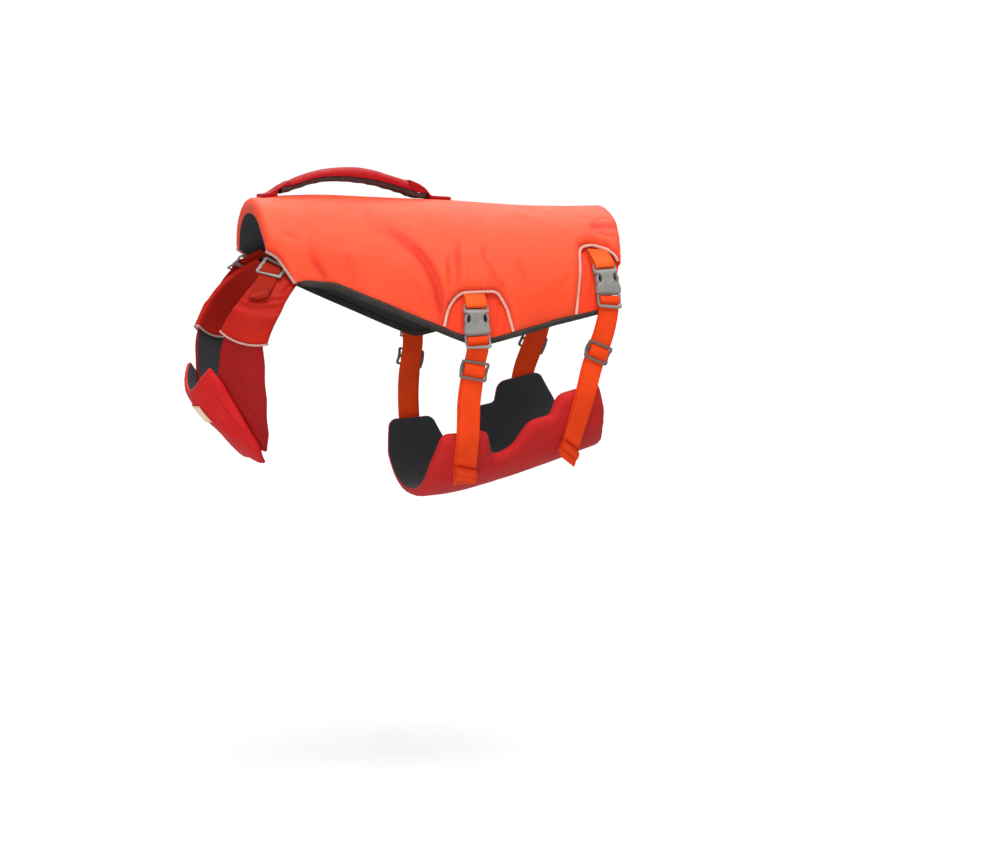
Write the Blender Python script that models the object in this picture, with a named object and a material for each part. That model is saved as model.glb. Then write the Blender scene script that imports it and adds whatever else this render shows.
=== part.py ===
"""A dog's life jacket in its worn form: back panel, belly panel, chest ring, straps and handle.

Frame: metres. The origin is on the wearer's back, under the middle of the back panel.
-X runs to the head, +Y to the wearer's right, +Z up. Tables are in millimetres and degrees.

Every piece lies on one of two smooth forms, the torso or the breast. A form turns a flat
place (u, v) into a point, and a lift moves that point out along the form's normal.
Right-hand pieces are worked out, and left-hand ones are their mirror images.
"""
import math

import bmesh
import bpy
import numpy as np
from mathutils import geometry

MM = 0.001
GAP = 0.3                    # between pieces that are sewn or laid together

# ---------------------------------------------------------------- driving sizes (mm)
PAD = 13.0                   # foam back panel
PAD_EDGE = 3.5               # where its layers are sewn flat
ARCH_EDGE = 6.0              # where it meets the piping of an arch
PAD_ROLL = 12.0              # how far the foam takes to rise from its edge
INSERT = 3.5                 # flat cloth inside an arch
BELLY_PAD = 8.0
BELLY_ROLL = 10.0
BINDING = 1.2
BINDING_REACH = 5.0
BINDING_START = -140.0       # x of its front end
PIPING = 1.15                # radius
WEB_WIDTH = 20.0
WEB = 1.4
CHEST_PAD = 5.0
CHEST_EDGE = 2.2
CHEST_ROLL = 9.0
LABEL_THICK = 0.8
ARM = 2.4
ARM_UNDER = 0.7              # how far the arm's face lies behind the breast form
SLEEVE = 1.2
SLEEVE_ROOM = 0.9            # between the arm and the sleeve round it
HANDLE_WIDTH = 26.0

# The torso's sections: its crown, its lowest point and half its width at stations along X.
TORSO_COLUMNS = ("x", "top", "bottom", "half_width")
TORSO = np.array([
    (-210, -6.0, -170, 60),
    (-160, 2.0, -228, 74),
    (-110, 4.0, -252, 87),
    (-50, 2.0, -259, 96),
    (10, -0.5, -257, 99),
    (70, -4.5, -243, 96),
    (125, -6.2, -226, 89),
    (172, -6.0, -211, 82),
    (200, -6.0, -204, 79),
], float)
SQUARENESS = 2.35            # 2 is an ellipse
TORSO_SPAN = 105.0           # v of one radian round the torso
BELLY_SPAN = 115.0           # the same, for places counted from the lowest line

# The breast's distance from its centre, by elevation (rows) and turn to the side (columns).
BREAST_CENTRE = np.array((-150.0, 0.0, -125.0))
BREAST_TURNS = (0, 30, 60, 90)
BREAST_RISES = (-80, -60, -40, -20, 0, 20, 40, 60)
BREAST = np.array([
    (106.0, 107, 110, 113),
    (89.5, 93, 103, 108),
    (87.8, 86.0, 91, 95),
    (88.5, 85.5, 83, 85),
    (91.0, 87.5, 84, 82),
    (95.0, 92.0, 89, 87),
    (100.0, 98.0, 95, 93.5),
    (106.0, 102.0, 97, 98),
], float)
BREAST_SPAN = 90.0           # u and v of one radian on the breast

# Outlines. A row is a corner: its place, and the radius that rounds it.
# On the torso a place is x (mm) and the angle from the crown (degrees).
FRONT_EDGE = ((-174, 0, 0), (-173, 25, 60), (-171, 37.5, 3))
NECK_ARCH = ((-171, 37.5, 3), (-161, 40.3, 14), (-147, 53.2, 2))
HEM = ((-147, 53.2, 0), (-112, 55.2, 30), (14.5, 85.2, 18), (90, 78.4, 60), (146, 75.6, 0))
FRONT_ARCH = ((-20, 79.2, 0), (-13.6, 64.5, 10), (-1.5, 57.2, 11), (35.2, 57.6, 9),
              (44.6, 66.8, 10), (51.6, 82.4, 0))
REAR_ARCH = ((110, 77.4, 0), (115.5, 58.5, 60), (121.6, 37.8, 11), (137, 36.5, 20),
             (152, 39.8, 8), (158.6, 43.8, 5), (161.5, 49.5, 0))
REAR_EDGE = ((161.5, 49.5, 0), (168.5, 27, 60), (170, 0, 0))
# The belly panel's angles are counted from the torso's lowest line.
BELLY = ((-22, 0, 0), (-22, 34, 12), (-15.5, 50.5, 9), (27, 51, 9), (38, 35, 9), (56, 39, 12),
         (69, 51.5, 12), (90, 51.5, 5), (96, 62, 10), (137, 62.5, 10), (145.5, 46, 40),
         (151, 32, 40), (168, 12, 30), (172, 0, 0))
# On the breast a place is across and up from the centre's level (mm over the form).
CHEST = ((0, -40, 0), (20, -35, 40), (52, -14.5, 2.5), (61, -30, 25), (61.5, -62, 60),
         (55, -89, 20), (40, -104, 12), (0, -118, 0))
LABEL = ((-14, -55, 2), (14, -55, 2), (14, -75, 2), (-14, -75, 2))
ARM_OUTLINE = ((79, 73, 4), (101, 69, 4), (106, 56, 30), (109.5, 35, 60), (107.5, 11, 40),
               (110.5, -11, 50), (97, -46.5, 50), (72, -78, 50), (47, -99, 6), (42, -90, 8),
               (49, -62, 30), (48, -40, 12), (62, -12, 25), (71, 21, 40), (77.5, 45, 40),
               (79, 60, 30))

# The sleeve's stations, from its hem up: its front and rear edges, and how far its middle sags.
SLEEVE_COLUMNS = ("front_u", "front_v", "rear_u", "rear_v", "sag", "puff")
SLEEVE_ROWS = np.array([
    (67.0, 21, 111.5, 10.5, 5.0, 0.2),
    (70.0, 31, 113.0, 22, 4.0, 0.0),
    (72.5, 40, 114, 33, 3.0, 1.6),
    (73.5, 45, 114, 39, 2.5, -0.1),
    (74.5, 53, 112.5, 48, 1.5, 0.0),
    (74.5, 66, 110.0, 61, 0.5, 0.0),
    (73.0, 78, 107.0, 73, 0.0, 0.0),
    (72.0, 91, 103.5, 86, 0.0, 0.0),
], float)

# Creases in the foam's cover: from (x, angle) to (x, angle), sideways bow, half width, depth.
FOLD_COLUMNS = ("x0", "angle0", "x1", "angle1", "bow", "reach", "depth")
FOLDS = (
    (-66, 31, -23, 70, -9, 9, 1.9),
    (-9, 45, -12, 60, 1, 5, 0.9),
    (2, 38, -3, 53, 1, 6, 0.9),
    (28, 50, 35, 59, 1, 5, 0.8),
    (139, 31, 157, 35, 2, 5, 1.1),
    (56, 12, 89, 28, 3, 9, -1.1),
    (-130, 37, -118, 53, 3, 9, 1.4),
    (71, 67, 85, 60, 2, 6, 0.8),
)

# Straps down the flank: x at angles from the crown, and the lift of the lower layer's middle.
STRAP_COLUMNS = ("angle", "x", "lift")
FRONT_STRAP = np.array([
    (56, 12.4, 6.9), (67, 12.2, 6.9), (80, 12.0, 6.9), (87, 12.6, 6.7), (92.5, 11.6, 3.5),
    (98, 10.6, 3.2), (104, 9.6, 3.1), (114, 8.0, 3.6), (122, 7.7, 6.4), (130, 7.5, 9.3),
    (136, 7.6, 9.4),
    (144, 8.6, 9.2), (152, 11.5, 9.2), (162, 17.0, 9.2),
], float)
REAR_STRAP = np.array([
    (34, 138.0, 6.9), (42, 140.5, 6.9), (52, 142.8, 6.9), (67, 143.6, 6.9), (77, 142.8, 6.7),
    (85, 140.9, 4.4), (93, 137.2, 3.3), (99, 134.0, 3.2), (105, 131.2, 3.5), (112, 127.5, 6.6),
    (119, 123.2, 9.3), (128, 118.6, 9.4),
    (134, 116.0, 9.2), (142, 113.8, 9.2), (150, 112.4, 9.2), (162, 112.4, 9.2),
], float)
# Where things sit on each strap, as angles from the crown.
STRAP_MARKS = {
    "front": {"root": 60.0, "joint": 79.2, "slider": 97.8, "tail": 148.5, "end": 157.5, "drop": 0.0},
    "rear": {"root": 42.4, "joint": 66.2, "slider": 98.8, "tail": 157.0, "end": 153.0, "drop": 7.0},
}
BUCKLE_LIFT = 9.25           # middle of the buckle over the torso
SOCKET_BAR = -25.9           # along the strap from the buckle's joint
PLUG_BAR = 4.6
TURN = 2.35                  # the webbing's bend round a bar, to its middle
# Half outlines of the hardware: across, along the strap, corner radius.
SOCKET = ((0, -26.7, 0), (11.6, -26.7, 3), (11.9, -20, 2), (9.3, -16.8, 2), (9.2, -15.4, 0.8),
          (6.6, -14.4, 1), (6.6, -6.8, 1), (10.8, -5.6, 1.2), (12.3, -2.2, 1.5),
          (11.7, -0.2, 0.8), (0, -0.2, 0))
SOCKET_SLOT = (10.4, -25.1, -20.4)
SOCKET_HALF = 3.6
BAR_HALF = 1.1
CAVITY = (9.6, -15.2, 2.0, 1.9)
PLUG = ((0, -3.4, 0), (6.4, -3.4, 0.8), (6.9, -8.2, 0.8), (8.0, -9.2, 0.5), (8.0, -12.8, 0.7),
        (9.2, -13.8, 0.7), (10.3, -12.2, 1.0), (10.3, -8.6, 0.9), (9.0, -7.0, 0.7),
        (9.0, 0.3, 0), (12.1, 0.3, 1), (12.2, 12.6, 2.2), (0, 12.6, 0))
PLUG_SLOTS = ((10.4, 1.1, 3.8), (10.4, 5.4, 10.2))
PLUG_HALF = 1.4
SLIDER_FRAME = 3.5           # how far its frame stands beyond the webbing's edge
SLIDER_CLEAR = 0.7           # and its slots
SLIDER_LONG = 8.6
SLIDER_CORNER = 2.2
SLIDER_SLOTS = ((-6.4, -1.5), (1.5, 6.4))
SLIDER_THICK = 1.6
SLIDER_RISE = 2.0
# The tail's way over a slider's middle bar: along from it, raised or not, and the bend there.
SLIDER_WAY = ((-9.5, 0, 0), (-5.9, 0, 1.0), (-2.7, 1, 1.2), (2.7, 1, 1.2), (5.9, 0, 1.0), (9.5, 0, 0))
TAIL_FOLD = 7.0              # the tail's end, turned back on itself
TAIL_HANG = 22.0             # how much of a loose tail stands off

# The neck strap on each sleeve, from under the back panel down.
NECK_STRAP_COLUMNS = ("v", "u")
NECK_STRAP = np.array([(95, 72), (86, 73), (78, 74), (70, 76.5), (60, 80.5), (48, 85.5)], float)
NECK_SLIDER = 78.0           # its slider's v
NECK_WEB = 16.0

# The handle's side view: its top and its underside over the origin's level.
HANDLE_COLUMNS = ("x", "top", "under")
HANDLE = np.array([
    (-146, 25.0, 17.6),
    (-136, 30.6, 20.6),
    (-122, 36.2, 25.2),
    (-108, 40.0, 28.4),
    (-90, 42.4, 29.4),
    (-73, 42.6, 28.4),
    (-57, 40.4, 26.2),
    (-41, 35.8, 22.2),
    (-24, 30.6, 17.0),
    (-15, 27.0, 13.4),
], float)
GRIP_ENDS = (-137, -23)
UNDERSIDE_ENDS = (-145, -17)
UNDERSIDE = 4.6
REAR_TAB = ((-22.6, 30.2), (-10, 24.4), (-1, 18.6), (4, 16.0), (20, 0))
FRONT_TAB = ((-137.4, 30.0), (-146, 25.4), (-153, 20.6), (-157, 18.6), (-164, 0))
TAB = 2.4

COLOURS = {                  # colour, roughness
    "shell": ((1.0, 0.10, 0.03), 0.75),
    "insert": ((0.95, 0.07, 0.02), 0.75),
    "webbing": ((0.95, 0.08, 0.01), 0.8),
    "binding": ((0.09, 0.08, 0.08), 0.85),
    "piping": ((0.72, 0.55, 0.52), 0.4),
    "belly": ((0.42, 0.02, 0.025), 0.8),
    "chest": ((0.62, 0.03, 0.035), 0.8),
    "arm": ((0.35, 0.015, 0.02), 0.8),
    "sleeve": ((0.65, 0.05, 0.02), 0.8),
    "grip": ((0.6, 0.015, 0.05), 0.75),
    "ribbed": ((0.10, 0.08, 0.08), 0.85),
    "hardware": ((0.19, 0.18, 0.175), 0.45),
    "label": ((1.0, 0.78, 0.48), 0.6),
}


# ---------------------------------------------------------------- curves
def through(at, stations, values):
    """The smooth curve through a table's values, read at any number of places."""
    at = np.asarray(at, float)
    stations = np.asarray(stations, float)
    values = np.asarray(values, float)
    if values.ndim == 1:
        values = np.broadcast_to(values[:, None], (len(values), at.size))
    slopes = np.gradient(values, stations, axis=0)
    flat = at.ravel()
    i = np.clip(np.searchsorted(stations, flat) - 1, 0, len(stations) - 2)
    column = np.arange(flat.size)
    step = stations[i + 1] - stations[i]
    t = np.clip((flat - stations[i]) / step, 0, 1)
    curve = ((2 * t**3 - 3 * t**2 + 1) * values[i, column]
             + (t**3 - 2 * t**2 + t) * step * slopes[i, column]
             + (3 * t**2 - 2 * t**3) * values[i + 1, column]
             + (t**3 - t**2) * step * slopes[i + 1, column])
    return curve.reshape(at.shape)


def rounded(corners, step):
    """Points along a line of (u, v, radius) corners, each turn an arc, no step longer than given."""
    corners = [(np.array(corner[:2], float), corner[2]) for corner in corners]
    points = [corners[0][0]]
    for k in range(1, len(corners) - 1):
        before, (corner, radius), after = corners[k - 1][0], corners[k], corners[k + 1][0]
        into = (corner - before) / np.linalg.norm(corner - before)
        out = (after - corner) / np.linalg.norm(after - corner)
        turn = math.acos(np.clip(into @ out, -1, 1))
        reach = min(radius * math.tan(turn / 2), 0.49 * np.linalg.norm(corner - before),
                    0.49 * np.linalg.norm(after - corner))
        if reach < 1e-6 or turn < 0.02:
            points.append(corner)
            continue
        start, end = corner - into * reach, corner + out * reach
        count = max(2, math.ceil(turn / math.radians(28 if radius > 4 else 46)))
        for t in np.linspace(0, 1, count + 1):
            weight = 2 * math.cos(turn / 2) * t * (1 - t)
            total = (1 - t)**2 + weight + t**2
            points.append(((1 - t)**2 * start + weight * corner + t**2 * end) / total)
    points.append(corners[-1][0])
    return spaced(points, step)


def spaced(points, step):
    """The same line, its long stretches divided evenly."""
    line = [points[0]]
    for start, end in zip(points[:-1], points[1:]):
        length = np.linalg.norm(end - start)
        if length < 1e-6:
            continue
        count = max(1, round(length / step))
        line += [start + (end - start) * k / count for k in range(1, count + 1)]
    return np.array(line)


def closed(corners, step):
    """A closed outline of rounded corners, begun in the middle of its last side."""
    middle = (np.array(corners[-1][:2], float) + np.array(corners[0][:2], float)) / 2
    return rounded([(*middle, 0), *corners, (*middle, 0)], step)[:-1]


def mirrored_outline(half):
    """A closed outline from its half, which begins and ends on the line v or u = 0."""
    half = np.asarray(half)
    flip = np.array((-1, 1)) if abs(half[0, 0]) < 1e-9 and abs(half[-1, 0]) < 1e-9 else np.array((1, -1))
    return np.vstack([half, (half * flip)[-2:0:-1]])


def away(points, line):
    """Each point's distance from a line of points."""
    start, end = line[:-1], line[1:]
    along = end - start
    offset = points[:, None, :] - start[None, :, :]
    t = np.clip((offset * along).sum(2) / (along**2).sum(1), 0, 1)
    return np.linalg.norm(offset - t[:, :, None] * along, axis=2).min(axis=1)


def within(points, outline):
    """Whether each point lies inside a closed outline."""
    a, b = outline, np.roll(outline, -1, axis=0)
    px, py = points[:, :1], points[:, 1:]
    spans = (a[:, 1] > py) != (b[:, 1] > py)
    rise = np.where(b[:, 1] == a[:, 1], 1e-12, b[:, 1] - a[:, 1])
    crossing = a[:, 0] + (py - a[:, 1]) / rise * (b[:, 0] - a[:, 0])
    return (spans & (px < crossing)).sum(axis=1) % 2 == 1


def inset(outline, distance):
    """A closed outline moved inwards by a small distance."""
    ahead = np.roll(outline, -1, axis=0) - outline
    ahead /= np.linalg.norm(ahead, axis=1, keepdims=True)
    back = np.roll(ahead, 1, axis=0)
    side = np.stack([-(ahead + back)[:, 1], (ahead + back)[:, 0]], axis=1)
    side /= np.linalg.norm(side, axis=1, keepdims=True)
    widen = np.clip((side * np.stack([-ahead[:, 1], ahead[:, 0]], axis=1)).sum(1), 0.4, 1)
    moved = outline + side * (distance / widen)[:, None]
    if within(moved, outline).mean() < 0.5:
        moved = outline - side * (distance / widen)[:, None]
    return moved


# ---------------------------------------------------------------- forms
def torso(u, v):
    """u is x, and v runs round the torso from its crown."""
    top, bottom, half = (through(u, TORSO[:, 0], TORSO[:, k]) for k in (1, 2, 3))
    angle = v / TORSO_SPAN
    tall = (top - bottom) / 2
    radius = (np.abs(np.sin(angle) / half)**SQUARENESS
              + np.abs(np.cos(angle) / tall)**SQUARENESS)**(-1 / SQUARENESS)
    return np.stack([u, radius * np.sin(angle), (top + bottom) / 2 + radius * np.cos(angle)], axis=-1)


def underside(u, v):
    """The torso, with v counted from its lowest line to the wearer's right."""
    return torso(u, (math.pi - v / BELLY_SPAN) * TORSO_SPAN)


def breast(u, v):
    """u runs across to the wearer's right and v up, over the front of the chest."""
    rise = v / BREAST_SPAN
    turn = u / (BREAST_SPAN * np.cos(rise))
    columns = np.stack([through(np.degrees(rise), BREAST_RISES, BREAST[:, k]) for k in (1, 0, 1, 2, 3)])
    stations = (-BREAST_TURNS[1], *BREAST_TURNS)
    radius = through(np.degrees(np.abs(turn)).ravel(), stations,
                     columns.reshape(5, -1)).reshape(rise.shape)
    facing = np.stack([-np.cos(rise) * np.cos(turn), np.cos(rise) * np.sin(turn), np.sin(rise)], axis=-1)
    return BREAST_CENTRE + facing * radius[..., None]


def outward(form, u, v):
    """The form's unit normal."""
    tiny = 0.05
    along = form(u + tiny, v) - form(u - tiny, v)
    around = form(u, v + tiny) - form(u, v - tiny)
    normal = np.cross(along, around)
    normal /= np.linalg.norm(normal, axis=-1, keepdims=True)
    middle = np.array((0, 0, -120.0)) if form is not breast else BREAST_CENTRE
    point = form(u, v)
    arm = point - middle
    if form is not breast:
        arm[..., 0] = 0
    return normal * np.sign((normal * arm).sum(-1, keepdims=True))


def on(form, u, v, lift):
    """Points over a form."""
    u, v, lift = np.broadcast_arrays(np.asarray(u, float), np.asarray(v, float), np.asarray(lift, float))
    return form(u, v) + outward(form, u, v) * lift[..., None]


def torso_place(rows):
    """Table corners on the torso, with their angles turned into v."""
    return [(x, math.radians(angle) * TORSO_SPAN, radius) for x, angle, radius in rows]


def belly_place(rows):
    return [(x, math.radians(angle) * BELLY_SPAN, radius) for x, angle, radius in rows]


def roll(distance, reach):
    """0 at an edge, rising like a stuffed edge to 1."""
    t = np.clip(distance / reach, 0, 1)
    return np.sqrt(np.clip(1 - (1 - t)**2.2, 0, 1))


# ---------------------------------------------------------------- closed shapes
def slab(outline, place, spacing, rings=(), extra=(), holes=()):
    """A closed wall: one flat triangulation, put at its inner and at its outer side.

    place(points, side) gives the wall's points, side being 0 inside and 1 outside.
    """
    loops = [np.asarray(outline)] + [np.asarray(hole) for hole in holes]
    border = np.vstack([np.vstack([loop, loop[:1], [[np.nan, np.nan]]]) for loop in loops])
    keep_out = [np.vstack([loop, loop[:1]]) for loop in loops]

    def clearance(points):
        return np.min([away(points, line) for line in keep_out], axis=0)

    def usable(points):
        inside = within(points, loops[0])
        for hole in loops[1:]:
            inside &= ~within(points, hole)
        return inside

    chosen = [np.array(point) for point in extra]
    for ring in rings:
        points = inset(loops[0], ring)
        points = points[usable(points) & (clearance(points) > 0.9 * ring)]
        chosen += list(points)
    last = max(rings, default=0.0)
    low, high = np.nanmin(border, axis=0), np.nanmax(border, axis=0)
    across = np.arange(low[0] + spacing / 2, high[0], spacing)
    up = np.arange(-math.ceil(-low[1] / spacing) * spacing, high[1], spacing * 0.9)
    grid = np.array([(x + (spacing / 2 if k % 2 else 0), y) for k, y in enumerate(up) for x in across])
    if len(grid):
        grid = grid[usable(grid)]
    if len(grid):
        grid = grid[clearance(grid) > last + 0.62 * spacing]
    if len(grid) and len(extra):
        near = np.linalg.norm(grid[:, None, :] - np.array(extra)[None, :, :], axis=2).min(axis=1)
        grid = grid[near > 0.55 * spacing]
    chosen += list(grid)
    points, edges = [], []
    for loop in loops:
        first = len(points)
        points += list(loop)
        edges += [(first + k, first + (k + 1) % len(loop)) for k in range(len(loop))]
    points += thinned(chosen, 0.3 * spacing)
    flat, _, faces = geometry.delaunay_2d_cdt([tuple(p) for p in points], edges, [], 1, 1e-5)[:3]
    flat = np.array([tuple(p) for p in flat])
    centres = np.array([flat[list(face)].mean(axis=0) for face in faces])
    faces = [face for face, good in zip(faces, usable(centres)) if good]
    count = len(flat)
    sides = {}
    for face in faces:
        for a, b in zip(face, [*face[1:], face[0]]):
            sides[(a, b)] = sides.get((a, b), 0) + 1
    walls = [(a, b) for a, b in sides if (b, a) not in sides]
    inner, outer = place(flat, 0), place(flat, 1)
    solid = [tuple(k + count for k in face) for face in faces]
    solid += [tuple(reversed(face)) for face in faces]
    solid += [(a, b, b + count, a + count) for a, b in walls]
    return np.vstack([inner, outer]), solid


def thinned(points, least):
    """The points in order, leaving out any that lie too near an earlier one."""
    kept = np.empty((0, 2))
    for point in points:
        if not len(kept) or np.linalg.norm(kept - point, axis=1).min() > least:
            kept = np.vstack([kept, point])
    return list(kept)


def loft(sections, ring=False):
    """A closed solid through like sections, capped at both ends or joined into a ring."""
    sections = np.asarray(sections)
    rows, count = sections.shape[:2]
    faces = []
    for row in range(rows if ring else rows - 1):
        here, there = row * count, (row + 1) % rows * count
        for k in range(count):
            n = (k + 1) % count
            faces.append((here + k, here + n, there + n, there + k))
    if not ring:
        faces.append(tuple(reversed(range(count))))
        faces.append(tuple(range((rows - 1) * count, rows * count)))
    return sections.reshape(-1, 3), faces


def tube_wall(outer, inner):
    """A tube with an open bore, from matching sections of its outside and its inside."""
    outer, inner = np.asarray(outer), np.asarray(inner)
    rows, count = outer.shape[:2]
    size = rows * count
    faces = []
    for row in range(rows - 1):
        here, there = row * count, (row + 1) * count
        for k in range(count):
            n = (k + 1) % count
            faces.append((here + k, here + n, there + n, there + k))
            faces.append((size + here + n, size + here + k, size + there + k, size + there + n))
    for row in (0, rows - 1):
        for k in range(count):
            n = (k + 1) % count
            faces.append((row * count + k, row * count + n, size + row * count + n, size + row * count + k))
    return np.vstack([outer.reshape(-1, 3), inner.reshape(-1, 3)]), faces


def cord(path, radius, sides=6, ring=False):
    """A round tube along a path of points."""
    path = np.asarray(path)
    if ring:
        ahead = np.roll(path, -1, axis=0) - np.roll(path, 1, axis=0)
    else:
        ahead = np.gradient(path, axis=0)
    ahead /= np.linalg.norm(ahead, axis=1, keepdims=True)
    middle = path.mean(axis=0) + np.array((0, 0, 37.0))
    first = np.cross(ahead, path - middle)
    first /= np.linalg.norm(first, axis=1, keepdims=True)
    second = np.cross(ahead, first)
    turns = np.arange(sides) * 2 * math.pi / sides
    sections = [path + radius * (math.cos(t) * first + math.sin(t) * second) for t in turns]
    return loft(np.stack(sections, axis=1), ring)


# ---------------------------------------------------------------- objects
def material(name):
    found = bpy.data.materials.get(name)
    if found:
        return found
    colour, roughness = COLOURS[name]
    new = bpy.data.materials.new(name)
    new.use_nodes = True
    shader = new.node_tree.nodes["Principled BSDF"]
    shader.inputs["Base Color"].default_value = (*colour, 1)
    shader.inputs["Roughness"].default_value = roughness
    shader.inputs["Metallic"].default_value = 0
    return new


def solid(name, shape, colour):
    """A named object from points in millimetres and faces."""
    points, faces = shape
    mesh = bpy.data.meshes.new(name)
    mesh.from_pydata((np.asarray(points) * MM).tolist(), [], faces)
    work = bmesh.new()
    work.from_mesh(mesh)
    bmesh.ops.recalc_face_normals(work, faces=work.faces)
    work.to_mesh(mesh)
    work.free()
    mesh.shade_smooth()
    mesh.set_sharp_from_angle(angle=math.radians(40))
    mesh.materials.append(material(colour))
    piece = bpy.data.objects.new(name, mesh)
    bpy.context.collection.objects.link(piece)
    return piece


def pair(name, shape, colour):
    """The right-hand piece and its mirror image on the left."""
    points, faces = shape
    solid(f"{name}_right", shape, colour)
    solid(f"{name}_left", (points * np.array((1, -1, 1)), [tuple(reversed(f)) for f in faces]), colour)


# ---------------------------------------------------------------- back panel
HEM_LINE = rounded(torso_place(HEM), 9)
ARCHES = {"front": rounded(torso_place(FRONT_ARCH), 9), "rear": rounded(torso_place(REAR_ARCH), 9)}
NECK_LINE = rounded(torso_place(NECK_ARCH), 6)


def hem_at(x):
    """How far round the torso the lower edge lies at x."""
    return np.interp(x, HEM_LINE[:, 0], HEM_LINE[:, 1])


def hem_between(x0, x1):
    """The lower edge from one x to another, ends included."""
    inner = HEM_LINE[(HEM_LINE[:, 0] > x0 + 2) & (HEM_LINE[:, 0] < x1 - 2)]
    return np.vstack([(x0, hem_at(x0)), inner, (x1, hem_at(x1))])


def corner_points():
    """Places that keep the flat seam flat beside the arches' feet."""
    feet = (FRONT_ARCH[0][0], FRONT_ARCH[-1][0], REAR_ARCH[0][0])
    return [(x + side * 6, hem_at(x + side * 6) - 7) for x, side in zip(feet, (-1, 1, -1))]


def arch_line(which):
    """An arch's path, its feet set exactly on the lower edge."""
    line = ARCHES[which].copy()
    line[0, 1] = hem_at(line[0, 0])
    if which == "front":
        line[-1, 1] = hem_at(line[-1, 0])
    return line


def back_outline():
    """Half the back panel, from the middle of its front edge to the middle of its rear edge."""
    front, rear = arch_line("front"), arch_line("rear")
    first = rounded(torso_place(FRONT_EDGE), 9)
    last = rounded(torso_place(REAR_EDGE), 9)
    stretches = [first[:-1], NECK_LINE[:-1], hem_between(NECK_LINE[-1, 0], front[0, 0])[:-1],
                 front[:-1], hem_between(front[-1, 0], rear[0, 0])[:-1], rear[:-1], last]
    return np.vstack(stretches)


def fold_lines(step):
    """Each crease's path over the panel, with its reach and depth."""
    lines = []
    for x0, angle0, x1, angle1, bow, reach, depth in FOLDS:
        start = np.array((x0, math.radians(angle0) * TORSO_SPAN))
        end = np.array((x1, math.radians(angle1) * TORSO_SPAN))
        along = end - start
        side = np.array((-along[1], along[0])) / np.linalg.norm(along)
        t = np.linspace(0, 1, max(4, round(np.linalg.norm(along) / step)))
        lines.append((start + t[:, None] * along + (4 * t * (1 - t) * bow)[:, None] * side, reach, depth))
    return lines


def crease(flat):
    """How much the creases lower the panel's cover at flat places on the right half."""
    lowered = np.zeros(len(flat))
    for line, reach, depth in fold_lines(5):
        distance = away(flat, line)
        from_end = np.minimum(np.linalg.norm(flat - line[0], axis=1), np.linalg.norm(flat - line[-1], axis=1))
        taper = np.clip(from_end / (2 * reach), 0.25, 1)
        lowered += depth * taper * np.exp(-(distance / (0.55 * reach))**2)
    return lowered


def back_lift(flat):
    """The foam's thickness at flat places."""
    right = np.abs(flat) * (0, 1) + flat * (1, 0)
    from_hem = away(right, HEM_LINE) - BINDING_REACH - 4
    from_arch = np.min([away(right, arch_line(which)) for which in ARCHES], axis=0)
    from_neck = away(right, NECK_LINE)
    ends = [rounded(torso_place(edge), 9) for edge in (FRONT_EDGE, REAR_EDGE)]
    from_end = np.min([away(right, line) for line in ends], axis=0)
    hem_rise = roll(np.maximum(from_hem, 0), PAD_ROLL)
    arch_rise = roll(np.minimum(from_arch, from_neck), PAD_ROLL)
    end_rise = roll(from_end, 0.5 * PAD_ROLL)
    edge = PAD_EDGE + (ARCH_EDGE - PAD_EDGE) * np.clip(from_hem / 8, 0, 1)
    return edge + (PAD - edge) * hem_rise * arch_rise * end_rise - crease(right) * hem_rise * arch_rise


def back_panel():
    def place(flat, side):
        return on(torso, flat[:, 0], flat[:, 1], back_lift(flat) if side else 0)
    extra = [point * (1, sign) for line, reach, _ in fold_lines(8) for point in line for sign in (1, -1)
             if reach > 8]
    extra += [np.array((x, sign * v)) for x, v in corner_points() for sign in (1, -1)]
    outline = mirrored_outline(back_outline())
    solid("back_panel", slab(outline, place, 13, (7, 13), extra), "shell")


def arch_inserts():
    """The flat cloth inside each arch, as deep as the lower edge."""
    def place(flat, side):
        return on(torso, flat[:, 0], flat[:, 1], INSERT if side else 0)
    front, rear = arch_line("front"), arch_line("rear")
    below_front = hem_between(front[0, 0], front[-1, 0])[::-1]
    pair("arch_insert_front", slab(inset(np.vstack([front[:-1], below_front[:-1]]), GAP + 0.05), place, 14),
         "insert")
    corner = HEM_LINE[-1]
    back = spaced([rear[-1], corner], 9)
    below_rear = hem_between(rear[0, 0], corner[0])[::-1]
    outline = np.vstack([rear[:-1], back[:-1], below_rear[:-1]])
    pair("arch_insert_rear", slab(inset(outline, GAP + 0.05), place, 14), "insert")


def bindings():
    """The tape folded over each lower edge: a thin U that holds the sewn layers."""
    reach, tape = BINDING_REACH, BINDING
    low, high = -GAP, PAD_EDGE + GAP
    section = [(-reach, high), (GAP, high), (GAP, low), (-reach, low), (-reach, low - tape),
               (GAP + 0.6 * tape, low - tape), (GAP + tape, (low + high) / 2),
               (GAP + 0.6 * tape, high + tape), (-reach, high + tape)]
    line = hem_between(BINDING_START, HEM_LINE[-1, 0])
    ahead = np.gradient(line, axis=0)
    ahead /= np.linalg.norm(ahead, axis=1, keepdims=True)
    down = np.stack([-ahead[:, 1], ahead[:, 0]], axis=1)
    rows = [on(torso, *(line + down * out).T, lift) for out, lift in section]
    pair("binding", loft(np.stack(rows, axis=1)), "binding")


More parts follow.
